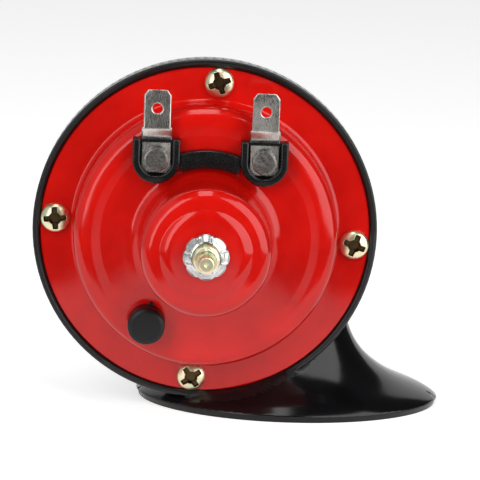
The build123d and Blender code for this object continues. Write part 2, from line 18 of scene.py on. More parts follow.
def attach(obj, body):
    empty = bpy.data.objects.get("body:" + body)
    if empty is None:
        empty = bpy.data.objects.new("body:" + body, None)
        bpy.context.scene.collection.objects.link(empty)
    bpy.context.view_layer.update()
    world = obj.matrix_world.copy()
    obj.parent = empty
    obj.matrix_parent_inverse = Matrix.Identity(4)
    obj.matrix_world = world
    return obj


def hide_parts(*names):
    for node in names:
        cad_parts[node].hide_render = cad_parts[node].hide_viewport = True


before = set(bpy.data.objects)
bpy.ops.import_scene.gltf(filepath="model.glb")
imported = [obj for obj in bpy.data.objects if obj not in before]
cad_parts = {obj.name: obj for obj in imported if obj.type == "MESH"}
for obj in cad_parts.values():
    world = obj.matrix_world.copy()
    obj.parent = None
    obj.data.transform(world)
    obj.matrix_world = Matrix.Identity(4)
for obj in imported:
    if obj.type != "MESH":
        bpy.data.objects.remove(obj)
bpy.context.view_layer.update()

LOG = logging.getLogger("horn")
MM = 0.001
SEAT_LEVEL = 32.3             # level of the frame's origin, where the bracket sits
LEDGE = 11.0                  # level of the ledge that carries terminals and plug
TERMINAL_X = (-12.08, 12.98)  # the left and right terminal
TERMINAL_Z = 19.1
BLADE_LEANS = (0.5, -5.0)     # degrees that the left and right blade lean back
FULL_TURN = 2 * math.pi

Pair = tuple[float, float]
Profile = list[Pair]
Triple = tuple[float, float, float]
Ring = list[bmesh.types.BMVert]
BMesh = bmesh.types.BMesh
Object = bpy.types.Object
Material = bpy.types.Material
NodeTree = bpy.types.NodeTree
Socket = bpy.types.NodeSocket


class Body(Enum):
    """The rigid body that the new pieces ride on."""

    HORN = "horn_body"


class Slot(Enum):
    """The record's material slots that new pieces take their finish from."""

    ENAMEL = "red_enamel"
    MOULDING = "black_plastic"
    INSULATOR = "black_insulator"
    RUBBER = "black_rubber"
    YELLOW_ZINC = "yellow_zinc"
    BRIGHT = "bright_steel"
    TINNED = "tinned_brass"


# ---- small tools -----------------------------------------------------------------------------
def linear(hex_colour: str) -> tuple[float, float, float, float]:
    """Turn an sRGB hex colour into the linear numbers that a shader takes.

    Args:
        hex_colour: The colour as "#rrggbb".

    Returns:
        Red, green, blue and an alpha of 1.
    """
    channels = [int(hex_colour[i:i + 2], 16) / 255 for i in (1, 3, 5)]
    red, green, blue = [c / 12.92 if c <= 0.04045 else ((c + 0.055) / 1.055) ** 2.4 for c in channels]
    return (red, green, blue, 1.0)


def place(x: float, z: float, level: float) -> Vector:
    """Give the point of the frame, in metres, at a place and a level in millimetres."""
    return Vector((x * MM, (SEAT_LEVEL - level) * MM, z * MM))


def on_circle(radius: float, angle: float, centre: Pair = (0.0, 0.0)) -> Pair:
    """Give the X and Z of a point on a circle, at an angle from X towards Z."""
    return (centre[0] + radius * math.cos(angle), centre[1] + radius * math.sin(angle))


def whole_turn(steps: int) -> list[float]:
    """Give the angles of equal steps round a circle."""
    return [FULL_TURN * k / steps for k in range(steps)]


def add_node(tree: NodeTree, kind: str, settings: dict | None = None,
             inputs: dict | None = None) -> bpy.types.Node:
    """Add a node with its settings and its links.

    Args:
        tree: The shader or geometry tree.
        kind: The node's type name.
        settings: Attributes to set on the node.
        inputs: Values, or sockets to link from, by the input's name or number.

    Returns:
        The new node.
    """
    node = tree.nodes.new(kind)
    for key, value in (settings or {}).items():
        setattr(node, key, value)
    for key, value in (inputs or {}).items():
        if isinstance(value, Socket):
            tree.links.new(value, node.inputs[key])
        else:
            node.inputs[key].default_value = value
    return node


def mesh_object(name: str, bm: BMesh, sharp_deg: float = 32.0) -> Object:
    """Close up a bmesh, turn its faces outwards and make it an object with smooth shading.

    Args:
        name: The object's name.
        bm: The mesh, in metres in the frame. It is freed.
        sharp_deg: Edges that turn by more than this stay sharp.

    Returns:
        The new object, linked to the scene.
    """
    bmesh.ops.remove_doubles(bm, verts=bm.verts, dist=1e-6)
    bmesh.ops.recalc_face_normals(bm, faces=bm.faces)
    mesh = bpy.data.meshes.new(name)
    bm.to_mesh(mesh)
    bm.free()
    mesh.shade_smooth()
    mesh.set_sharp_from_angle(angle=math.radians(sharp_deg))
    obj = bpy.data.objects.new(name, mesh)
    bpy.context.scene.collection.objects.link(obj)
    return obj


def plain_mesh(obj: Object, name: str, sharp_deg: float = 32.0) -> Object:
    """Turn a curve, or an object with modifiers, into a plain mesh at the origin.

    Args:
        obj: The object to turn. It is removed.
        name: The new object's name.
        sharp_deg: Edges that turn by more than this stay sharp.

    Returns:
        The plain mesh object.
    """
    bpy.context.view_layer.update()
    evaluated = obj.evaluated_get(bpy.context.evaluated_depsgraph_get())
    mesh = bpy.data.meshes.new_from_object(evaluated)
    mesh.transform(obj.matrix_world)
    mesh.name = name
    bpy.data.objects.remove(obj)
    bm = bmesh.new()
    bm.from_mesh(mesh)
    materials = list(mesh.materials)
    bpy.data.meshes.remove(mesh)
    made = mesh_object(name, bm, sharp_deg)
    for material in materials:
        made.data.materials.append(material)
    return made


def arc_corner(before: Vector, corner: Vector, after: Vector, radius: float, steps: int) -> list[Vector]:
    """Round one corner of an outline with an arc.

    Args:
        before: The point before the corner.
        corner: The corner.
        after: The point after the corner.
        radius: The arc's radius.
        steps: How many spans the arc has.

    Returns:
        The arc's points, or the corner alone where there is nothing to round.
    """
    back, ahead = (before - corner).normalized(), (after - corner).normalized()
    half = back.angle(ahead) / 2
    if radius <= 0 or half > math.pi / 2 - 0.01:
        return [corner]
    centre = corner + (back + ahead).normalized() * radius / math.sin(half)
    start = corner + back * radius / math.tan(half) - centre
    sweep = math.pi - 2 * half
    turn = 1 if back.x * ahead.y - back.y * ahead.x < 0 else -1
    return [centre + Matrix.Rotation(turn * sweep * i / steps, 2) @ start for i in range(steps + 1)]


def rounded(corners: Profile, radii: Sequence[float], steps: int) -> Profile:
    """Round the corners of an open outline.

    Args:
        corners: The outline's corners.
        radii: A radius for each corner. The outline's ends ignore theirs.
        steps: How many spans each arc has.

    Returns:
        The outline's points.
    """
    points = [Vector(c) for c in corners]
    outline = points[:1]
    for before, point, after, radius in zip(points, points[1:], points[2:], radii[1:]):
        outline += arc_corner(before, point, after, radius, steps)
    return [(p.x, p.y) for p in outline + points[-1:]]


def subdivided(line: Profile, longest: float) -> Profile:
    """Split the long straight runs of an outline, so that its faces stay even.

    Args:
        line: The outline's points.
        longest: The longest run that is left.

    Returns:
        The outline with the added points.
    """
    out = [line[0]]
    for (x0, y0), (x1, y1) in zip(line, line[1:]):
        count = max(1, math.ceil(math.dist((x0, y0), (x1, y1)) / longest))
        out += [(x0 + (x1 - x0) * i / count, y0 + (y1 - y0) * i / count) for i in range(1, count + 1)]
    return out


def turn_profile(bm: BMesh, profile: Profile, segments: int, closed: bool = True,
                 centre: Pair = (0.0, 0.0)) -> None:
    """Turn an outline of (radius, level) points about an axis along Y.

    Args:
        bm: The mesh to add to.
        profile: The outline. A radius of 0 becomes a pole.
        segments: How many steps go round.
        closed: Whether the outline runs back to its start.
        centre: The axis's X and Z.
    """
    rings = []
    for radius, level in profile:
        angles = whole_turn(segments if radius > 0 else 1)
        rings.append([bm.verts.new(place(*on_circle(radius, angle, centre), level)) for angle in angles])
    join_rings(bm, rings + rings[:1] if closed else rings)


def join_rings(bm: BMesh, rings: list[Ring]) -> None:
    """Fill between each two neighbours in a list of rings; a ring of one vertex is a pole."""
    for one, two in zip(rings, rings[1:]):
        count = max(len(one), len(two))
        for k in range(count if count > 1 else 0):
            corners = [ring[n % len(ring)] for ring, n in ((one, k), (one, k + 1), (two, k + 1), (two, k))]
            bm.faces.new(list(dict.fromkeys(corners)))


def dress(obj: Object, body: Body, material: Material, nodes: Iterable[str] = ()) -> Object:
    """Give a piece its finish, its body and the CAD nodes it stands for.

    Args:
        obj: The piece.
        body: The body that it rides on.
        material: Its finish. A piece that already has one keeps it.
        nodes: The CAD nodes that it replaces.

    Returns:
        The same piece.
    """
    if not obj.data.materials:
        obj.data.materials.append(material)
    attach(obj, body.value)
    if nodes:
        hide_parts(*nodes)
    LOG.info("%s: %d faces", obj.name, len(obj.data.polygons))
    return obj


# ---- finishes --------------------------------------------------------------------------------
GRAIN_SPAN = (0.3, 0.7)       # the part of a fine noise over which roughness changes


class ShaderKit:
    """A material in the making: its tree, its Principled shader and the Object coordinates."""

    def __init__(self, name: str) -> None:
        """Start a material of that name."""
        self.material = bpy.data.materials.new(name)
        self.material.use_nodes = True
        self.tree = self.material.node_tree
        self.tree.nodes.clear()
        self.shader = add_node(self.tree, "ShaderNodeBsdfPrincipled")
        add_node(self.tree, "ShaderNodeOutputMaterial", inputs={"Surface": self.shader.outputs[0]})
        self.place = add_node(self.tree, "ShaderNodeTexCoord").outputs["Object"]

    def noise(self, size_mm: float, detail: float, at: Socket | None = None) -> Socket:
        """Give noise whose grains are about that many millimetres across."""
        noise = add_node(self.tree, "ShaderNodeTexNoise",
                         inputs={"Vector": at or self.place, "Scale": 1 / (size_mm * MM),
                                 "Detail": detail, "Roughness": 0.5})
        return noise.outputs["Fac"]

    def stretch(self, scale: Triple, at: Triple = (0, 0, 0)) -> Socket:
        """Give Object coordinates that are moved and stretched."""
        mapping = add_node(self.tree, "ShaderNodeMapping",
                           inputs={"Vector": self.place, "Scale": scale, "Location": at})
        return mapping.outputs[0]

    def spread(self, value: Socket, span: Pair, out: Pair) -> Socket:
        """Map a value from one span to another."""
        node = add_node(self.tree, "ShaderNodeMapRange",
                        inputs={"Value": value, "From Min": span[0], "From Max": span[1],
                                "To Min": out[0], "To Max": out[1]})
        return node.outputs[0]

    def mottle(self, pattern: Socket, span: Pair, one: str | Socket, two: str | Socket) -> Socket:
        """Mix two colours, given as hex or as sockets, as a pattern rises through a span."""
        share = self.spread(pattern, span, (0, 1))
        node = add_node(self.tree, "ShaderNodeMix", {"data_type": "RGBA"}, {0: share})
        for number, colour in ((6, one), (7, two)):
            if isinstance(colour, str):
                node.inputs[number].default_value = linear(colour)
            else:
                self.tree.links.new(colour, node.inputs[number])
        return node.outputs[2]

    def bump(self, height: Socket, depth_mm: float, under: Socket | None = None) -> Socket:
        """Give a normal that stands for relief of that depth."""
        inputs = {"Height": height, "Distance": depth_mm * MM, "Strength": 1.0}
        if under is not None:
            inputs["Normal"] = under
        return add_node(self.tree, "ShaderNodeBump", inputs=inputs).outputs[0]

    def set(self, **values: float | tuple | Socket) -> None:
        """Set or link the shader's inputs; an underscore in a name stands for a space."""
        for key, value in values.items():
            socket = self.shader.inputs[key.replace("_", " ")]
            if isinstance(value, Socket):
                self.tree.links.new(value, socket)
            else:
                socket.default_value = value


@dataclass(frozen=True)
class Coat:
    """A painted or moulded face: a colour that drifts in patches, with a grain in its gloss and relief.

    Attributes:
        name: The material's name.
        colour: The main colour.
        drift: The colour that it drifts to.
        patch_mm: How wide the patches are, and patch_detail how broken they are.
        patch_span: The part of the patches' noise over which the colour changes.
        grain_mm: How wide the grains are, and grain_detail how broken they are.
        roughness: The roughness in the hollows and on the tops of the grains.
        relief_mm: How deep the relief is.
        specular: How strongly it mirrors.
        wavy: Whether the relief follows the patches and not the grains.
    """

    name: str
    colour: str
    drift: str
    patch_mm: float
    patch_detail: float
    patch_span: Pair
    grain_mm: float
    grain_detail: float
    roughness: Pair
    relief_mm: float
    specular: float
    wavy: bool = False

    def make(self) -> Material:
        """Build the material."""
        kit = ShaderKit(self.name)
        patch = kit.noise(self.patch_mm, detail=self.patch_detail)
        grain = kit.noise(self.grain_mm, detail=self.grain_detail)
        kit.set(Base_Color=kit.mottle(patch, self.patch_span, self.colour, self.drift),
                Roughness=kit.spread(grain, GRAIN_SPAN, self.roughness),
                Normal=kit.bump(patch if self.wavy else grain, self.relief_mm),
                Specular_IOR_Level=self.specular)
        return kit.material


# Wet gloss with the spray gun's faint orange peel.
STOVED_ENAMEL = Coat("red_stoved_enamel", "#d8140c", "#c81009", 9.0, 3.0, (0.35, 0.65), 1.1, 1.5,
                     (0.09, 0.14), 0.0012, 0.42)
# ABS from a polished mould: deep gloss, with flow marks that bend reflections.
GLOSS_ABS = Coat("black_moulded_abs", "#0b0b0c", "#0e0e10", 7.0, 2.0, (0.3, 0.7), 0.35, 2.0,
                 (0.12, 0.18), 0.006, 0.35, wavy=True)
# The same ABS where the mould is spark eroded: satin with a fine even grain.
SATIN_ABS = Coat("black_satin_abs", "#0c0d0e", "#121314", 0.22, 3.0, (0.3, 0.7), 0.22, 3.0,
                 (0.25, 0.38), 0.004, 0.4)
# Half gloss, with patches of dusty grey.
FILLED_NYLON = Coat("black_filled_nylon", "#0f1011", "#191a1b", 3.0, 3.0, (0.4, 0.75), 0.3, 4.0,
                    (0.2, 0.32), 0.006, 0.35)
# Dull, with a bloom that greys it slightly.
SOFT_RUBBER = Coat("black_moulded_rubber", "#0c0c0d", "#111213", 2.5, 2.0, (0.35, 0.7), 0.25, 4.0,
                   (0.28, 0.44), 0.008, 0.3)


@dataclass(frozen=True)
class YellowZinc:
    """Zinc plate with a yellow chromate: gold with green and rose clouds where the film is thicker."""

    name: str = "yellow_chromate_zinc"
    gold: str = "#eadfb4"
    green: str = "#cfddb8"
    rose: str = "#efcfba"
    roughness: Pair = (0.26, 0.42)
    cloud_mm: float = 1.6
    rose_share: float = 0.6
    rose_shift: Triple = (0.03, 0.01, 0.02)
    scuff_mm: float = 0.18
    scuff_depth_mm: float = 0.004

    def make(self) -> Material:
        """Build the material."""
        kit = ShaderKit(self.name)
        cloud = kit.noise(self.cloud_mm, detail=2.0)
        other = kit.noise(self.cloud_mm * self.rose_share, detail=2.0,
                          at=kit.stretch((1, 1, 1), at=self.rose_shift))
        warm = kit.mottle(other, (0.45, 0.65), self.gold, self.rose)
        scuff = kit.noise(self.scuff_mm, detail=3.0)
        kit.set(Base_Color=kit.mottle(cloud, (0.45, 0.62), warm, self.green), Metallic=1.0,
                Roughness=kit.spread(scuff, (0.3, 0.75), self.roughness),
                Normal=kit.bump(scuff, self.scuff_depth_mm))
        return kit.material


# Painted shade: a dark brown for the screws' cross recesses, standing in for the shade that falls in them.
RECESS_SHADE_ZINC = YellowZinc("recess_painted_shade", "#54432a", "#453f2a", "#553826", (0.3, 0.46), 0.7)


@dataclass(frozen=True)
class BrightPlate:
    """Nickel or tin plate on pressed metal: bright, with fine drawing lines one way."""

    name: str
    colour: str = "#c9c6c0"
    tarnish: str = "#a9a59d"
    roughness: Pair = (0.22, 0.34)
    line_mm: float = 0.09
    line_depth_mm: float = 0.002
    line_stretch: Triple = (1.0, 1.0, 0.06)
    patch_mm: float = 2.2

    def make(self) -> Material:
        """Build the material."""
        kit = ShaderKit(self.name)
        lines = kit.noise(self.line_mm, detail=2.0, at=kit.stretch(self.line_stretch))
        patch = kit.noise(self.patch_mm, detail=3.0)
        kit.set(Base_Color=kit.mottle(patch, (0.4, 0.7), self.colour, self.tarnish), Metallic=1.0,
                Roughness=kit.spread(lines, GRAIN_SPAN, self.roughness),
                Normal=kit.bump(lines, self.line_depth_mm))
        return kit.material


# Nickel over the washer's spring steel, tumbled and so without drawing lines.
SPRING_STEEL = BrightPlate("nickelled_spring_steel", "#d2d4d3", "#aab0ae", (0.18, 0.3), 0.25, 0.004,
                           (1, 1, 1))


@dataclass(frozen=True)
class SpunHead:
    """A rivet head formed by a spinning tool: grey, with fine rings about each head's own middle."""

    name: str
    centre: Pair
    colour: str = "#8f8d89"
    dark: str = "#5d5b58"
    roughness: Pair = (0.28, 0.45)
    wobble_mm: float = 0.8
    patch_mm: float = 0.5
    ring_mm: float = 0.22
    relief_mm: float = 0.006

    def make(self) -> Material:
        """Build the material."""
        kit = ShaderKit(self.name)
        x, z = self.centre
        centred = kit.stretch((1, 0, 1), at=(-x * MM, 0, -z * MM))
        wobble = kit.noise(self.wobble_mm, detail=2.0)
        rings = add_node(kit.tree, "ShaderNodeTexWave",
                         {"wave_type": "RINGS", "rings_direction": "SPHERICAL"},
                         {"Vector": centred, "Scale": 0.314 / (self.ring_mm * MM),
                          "Distortion": 2.5, "Detail": 2.0, "Detail Scale": 3.0})
        patch = kit.noise(self.patch_mm, detail=4.0)
        kit.set(Base_Color=kit.mottle(patch, (0.35, 0.65), self.colour, self.dark), Metallic=1.0,
                Roughness=kit.spread(wobble, GRAIN_SPAN, self.roughness),
                Normal=kit.bump(rings.outputs["Fac"], self.relief_mm,
                                under=kit.bump(patch, self.relief_mm)))
        return kit.material


@dataclass(frozen=True)
class PlainInner:
    """A finish for a piece inside the horn: one colour with a fine grain of its own."""

    name: str
    colour: str
    second: str
    metallic: float
    roughness: float
    grain_mm: float = 0.4
    grain_stretch: Triple = (1.0, 1.0, 1.0)
    grain_depth_mm: float = 0.005
    wear: float = 0.12

    def make(self) -> Material:
        """Build the material."""
        kit = ShaderKit(self.name)
        grain = kit.noise(self.grain_mm, detail=3.0, at=kit.stretch(self.grain_stretch))
        kit.set(Base_Color=kit.mottle(grain, (0.35, 0.65), self.colour, self.second),
                Metallic=self.metallic, Normal=kit.bump(grain, self.grain_depth_mm),
                Roughness=kit.spread(grain, GRAIN_SPAN, (self.roughness, self.roughness + self.wear)))
        return kit.material


# ---- patterns of repeated pieces -------------------------------------------------------------
@dataclass
class PatternNodes:
    """A Geometry Nodes tree that sets one piece on marked points and makes the result real."""

    name: str
    material: Material
    second: Material | None = None

    def tree(self) -> NodeTree:
        """Build the tree, with the piece and its scale as named inputs."""
        tree = bpy.data.node_groups.new(self.name, "GeometryNodeTree")
        face = tree.interface
        face.new_socket("Points", in_out="INPUT", socket_type="NodeSocketGeometry")
        face.new_socket("Piece", in_out="INPUT", socket_type="NodeSocketObject")
        face.new_socket("Scale", in_out="INPUT", socket_type="NodeSocketFloat")
        face.new_socket("Pattern", in_out="OUTPUT", socket_type="NodeSocketGeometry")
        start = add_node(tree, "NodeGroupInput")
        turn = add_node(tree, "GeometryNodeInputNamedAttribute", {"data_type": "FLOAT_VECTOR"},
                        {"Name": "turn"})
        piece = add_node(tree, "GeometryNodeObjectInfo", inputs={"Object": start.outputs["Piece"]})
        copies = add_node(tree, "GeometryNodeInstanceOnPoints",
                          inputs={"Points": start.outputs["Points"], "Instance": piece.outputs["Geometry"],
                                  "Rotation": turn.outputs["Attribute"], "Scale": start.outputs["Scale"]})
        real = add_node(tree, "GeometryNodeRealizeInstances", inputs={"Geometry": copies.outputs[0]})
        dressed = add_node(tree, "GeometryNodeSetMaterial",
                           inputs={"Geometry": real.outputs[0], "Material": self.material})
        if self.second:
            marked = add_node(tree, "GeometryNodeInputNamedAttribute", {"data_type": "BOOLEAN"},
                              {"Name": "second"})
            dressed = add_node(tree, "GeometryNodeSetMaterial",
                               inputs={"Geometry": dressed.outputs[0], "Material": self.second,
                                       "Selection": marked.outputs["Attribute"]})
        add_node(tree, "NodeGroupOutput", inputs={"Pattern": dressed.outputs[0]})
        return tree

    def spread(self, piece: Object, points: list[Vector], turns_deg: list[float],
               name: str, sharp_deg: float = 32.0) -> Object:
        """Set the piece on each point, turned about Y, and give one plain mesh.

        Args:
            piece: The piece, modelled about the origin. It is removed.
            points: Where the copies go, in metres.
            turns_deg: How far each copy is turned about Y.
            name: The new object's name.
            sharp_deg: Edges that turn by more than this stay sharp.

        Returns:
            The mesh object with all copies.
        """
        mesh = bpy.data.meshes.new(name + "_points")
        mesh.from_pydata([tuple(p) for p in points], [], [])
        attribute = mesh.attributes.new("turn", "FLOAT_VECTOR", "POINT")
        attribute.data.foreach_set("vector", [v for t in turns_deg for v in (0.0, math.radians(t), 0.0)])
        holder = bpy.data.objects.new(name + "_points", mesh)
        bpy.context.scene.collection.objects.link(holder)
        modifier = holder.modifiers.new("pattern", "NODES")
        modifier.node_group = self.tree()
        sockets = {s.name: s.identifier for s in modifier.node_group.interface.items_tree
                   if s.in_out == "INPUT"}
        modifier[sockets["Piece"]] = piece
        modifier[sockets["Scale"]] = 1.0
        made = plain_mesh(holder, name, sharp_deg)
        bpy.data.objects.remove(piece)
        return made


@dataclass
class Relief:
    """A round pressed or headed piece whose front is a field of heights over a polar grid."""

    radius: Callable[[float], float]
    height: Callable[[float, float, float], float]
    inner_r: float = 0.0
    rings: int = 48
    segments: int = 144
    foot: float = 0.0

    def mesh(self, bm: BMesh) -> None:
        """Add the piece about the origin: its front, its edge and a flat back.

        Args:
            bm: The mesh to add to, in metres, with heights along -Y.
        """
        def vert(radius: float, angle: float, height: float) -> bmesh.types.BMVert:
            """Add one vertex at a radius, an angle and a height."""
            x, z = on_circle(radius, angle)
            return bm.verts.new((x * MM, -height * MM, z * MM))

        angles = whole_turn(self.segments)
        middle = angles if self.inner_r else [0.0]
        rows = []
        for i in range(self.rings + 1):
            share = i / self.rings
            row = []
            for angle in angles if share else middle:
                radius = self.inner_r + (self.radius(angle) - self.inner_r) * share
                row.append(vert(radius, angle, self.height(radius, angle, share)))
            rows.append(row)
        rows.append([vert(self.radius(angle), angle, self.foot) for angle in angles])
        rows.append([vert(self.inner_r, angle, self.foot) for angle in middle])
        join_rings(bm, rows + rows[:1] if self.inner_r else rows)


def smooth_step(low: float, high: float, value: float) -> float:
    """Ease from 0 at low to 1 at high."""
    share = min(max((value - low) / (high - low), 0.0), 1.0)
    return share * share * (3 - 2 * share)


# ---- the pressed cup -------------------------------------------------------------------------
@dataclass
class CupPressing:
    """The red cup: flange, step, ledge, coil dome and raised crown, pressed from one sheet."""

    sheet: float = 0.9
    corners: Profile = field(default_factory=lambda: [
        (3.35, 29.7), (9.35, 29.7), (10.6, 28.88), (14.9, 28.6), (15.3, LEDGE - 0.2),
        (24.6, LEDGE - 0.2), (27.1, LEDGE - 0.05), (30.9, LEDGE - 0.4), (31.1, 0.0), (39.2, 0.0)])
    bends: tuple[float, ...] = (0.0, 4.2, 0.8, 2.8, 2.7, 5.0, 8.0, 2.6, 1.1, 0.0)
    rim_rounding: float = 0.2
    tightest: float = 0.1
    segments: int = 288
    longest_run: float = 1.5

    def inner_corners(self) -> Profile:
        """Give the corners of the sheet's inner side, moved in by its thickness."""
        points = [Vector(c) for c in self.corners]
        moved = []
        for i, point in enumerate(points):
            near = points[max(i - 1, 0):i + 2]
            runs = [(b - a).normalized() for a, b in zip(near, near[1:])]
            normals = [Vector((run.y, -run.x)) for run in runs]
            one, two = normals[0], normals[-1]
            moved.append(point + (one + two) * self.sheet / (1 + one.dot(two)))
        return [(p.x, p.y) for p in moved]

    def inner_bends(self) -> list[float]:
        """Give the bend radii on the inner side: tighter outside corners, wider inside ones."""
        points = [Vector(c) for c in self.corners]
        radii = [0.0]
        for before, point, after, bend in zip(points, points[1:], points[2:], self.bends[1:]):
            run, following = point - before, after - point
            turns_in = run.x * following.y - run.y * following.x < 0
            radii.append(max(bend - self.sheet, self.tightest) if turns_in else bend + self.sheet)
        return radii + [0.0]

    def build(self, enamel: Material) -> Object:
        """Turn the sheet's section and enamel it."""
        outside = subdivided(rounded(self.corners, self.bends, steps=10), self.longest_run)
        inside = rounded(self.inner_corners(), self.inner_bends(), steps=4)
        rim_r, rim_level = self.corners[-1]
        rim = [(rim_r - self.rim_rounding, rim_level), (rim_r, rim_level - self.rim_rounding),
               (rim_r, rim_level - self.sheet)]
        bm = bmesh.new()
        turn_profile(bm, outside[:-1] + rim + inside[::-1], self.segments)
        return dress(mesh_object("cup_pressing", bm), Body.HORN, enamel, ["housing_cup"])


# ---- the trumpet -----------------------------------------------------------------------------
@dataclass
class Trumpet:
    """The two welded mouldings: pan with the rim ring, snail duct and bell."""

    lip_r: float = 41.0
    ring_level: float = -1.6
    sharp_deg: float = 38.0
    mouldings: tuple[str, ...] = ("trumpet_base", "trumpet_shell")

    def skin(self, node: str, gloss: Material, satin: Material) -> Object:
        """Give a moulding a smooth skin of its own: satin on the rim ring, gloss elsewhere.

        Args:
            node: The CAD node.
            gloss: The finish of the duct, bell and pan.
            satin: The finish of the rim ring.

        Returns:
            The new piece.
        """
        bm = bmesh.new()
        bm.from_mesh(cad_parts[node].data)
        made = mesh_object(node + "_skin", bm, self.sharp_deg)
        made.data.materials.append(gloss)
        made.data.materials.append(satin)
        for face in made.data.polygons:
            centre = face.center / MM
            on_ring = math.hypot(centre.x, centre.z) < self.lip_r + 0.01
            if on_ring and SEAT_LEVEL - centre.y > self.ring_level:
                face.material_index = 1
        return dress(made, Body.HORN, gloss, [node])

    def build(self, gloss: Material, satin: Material) -> None:
        """Skin both mouldings."""
        for node in self.mouldings:
            self.skin(node, gloss, satin)


# ---- screws, stud and washer -----------------------------------------------------------------
@dataclass
class FlangeScrews:
    """Four pan head screws with cross recesses round the flange."""

    count: int = 4
    circle_r: float = 35.7
    first_deg: float = 86.5
    head_r: float = 3.45
    head_height: float = 2.3
    edge_height: float = 0.75
    cross_turns: tuple[float, ...] = (20.0, 70.0, 35.0, 5.0)
    arm_reach: float = 2.75
    arm_width: float = 1.6
    arm_taper: float = 0.22
    arm_rise: float = 0.5
    core_r: float = 1.55
    cross_depth: float = 1.5
    wall: float = 0.14
    dome_power: float = 2.6
    shade_depth: float = 0.12
    shade_level: float = 0.3
    nodes: tuple[str, ...] = (
        "flange_screw_top", "flange_screw_right", "flange_screw_bottom", "flange_screw_left")

    def recess(self, x: float, z: float) -> float:
        """Give the depth of the cross recess at a place on the head."""
        depth = 0.0
        for along, across in ((abs(x), abs(z)), (abs(z), abs(x))):
            width = self.arm_width * (1 - self.arm_taper * along / self.arm_reach)
            inside = 1 - smooth_step(width / 2 - self.wall, width / 2, across)
            ahead = 1 - smooth_step(self.arm_reach - 3 * self.wall, self.arm_reach, along)
            rise = 1 - self.arm_rise * along / self.arm_reach
            depth = max(depth, inside * ahead * self.cross_depth * rise)
        core = 1 - smooth_step(self.core_r - 3 * self.wall, self.core_r, math.hypot(x, z))
        return max(depth, core * self.cross_depth)

    def head(self, radius: float, angle: float, share: float) -> float:
        """Give the head's height: a domed pan with a rounded edge and the recess in it."""
        bulge = math.sqrt(max(1 - share ** self.dome_power, 0))
        dome = self.edge_height + (self.head_height - self.edge_height) * bulge
        return dome - self.recess(*on_circle(radius, angle))

    def build(self, zinc: Material, recess_shade: Material) -> Object:
        """Make one head and set it on the screw circle; its recess is painted dark brown as shade."""
        bm = bmesh.new()
        Relief(lambda angle: self.head_r, self.head, rings=60, segments=176).mesh(bm)
        head = mesh_object("screw_head", bm)
        shaded_faces = head.data.attributes.new("second", "BOOLEAN", "FACE")
        for face in head.data.polygons:
            centre = face.center / MM
            # Faces deep in the recess take the dark brown that is painted shade.
            deep = self.recess(centre.x, centre.z) > self.shade_depth
            shaded_faces.data[face.index].value = deep and -centre.y > self.shade_level
        angles = [math.radians(self.first_deg - 360 / self.count * n) for n in range(self.count)]
        points = [place(*on_circle(self.circle_r, angle), 0) for angle in angles]
        pattern = PatternNodes("screw_circle", zinc, recess_shade)
        screws = pattern.spread(head, points, [-t for t in self.cross_turns], "flange_screws", 40)
        return dress(screws, Body.HORN, zinc, self.nodes)


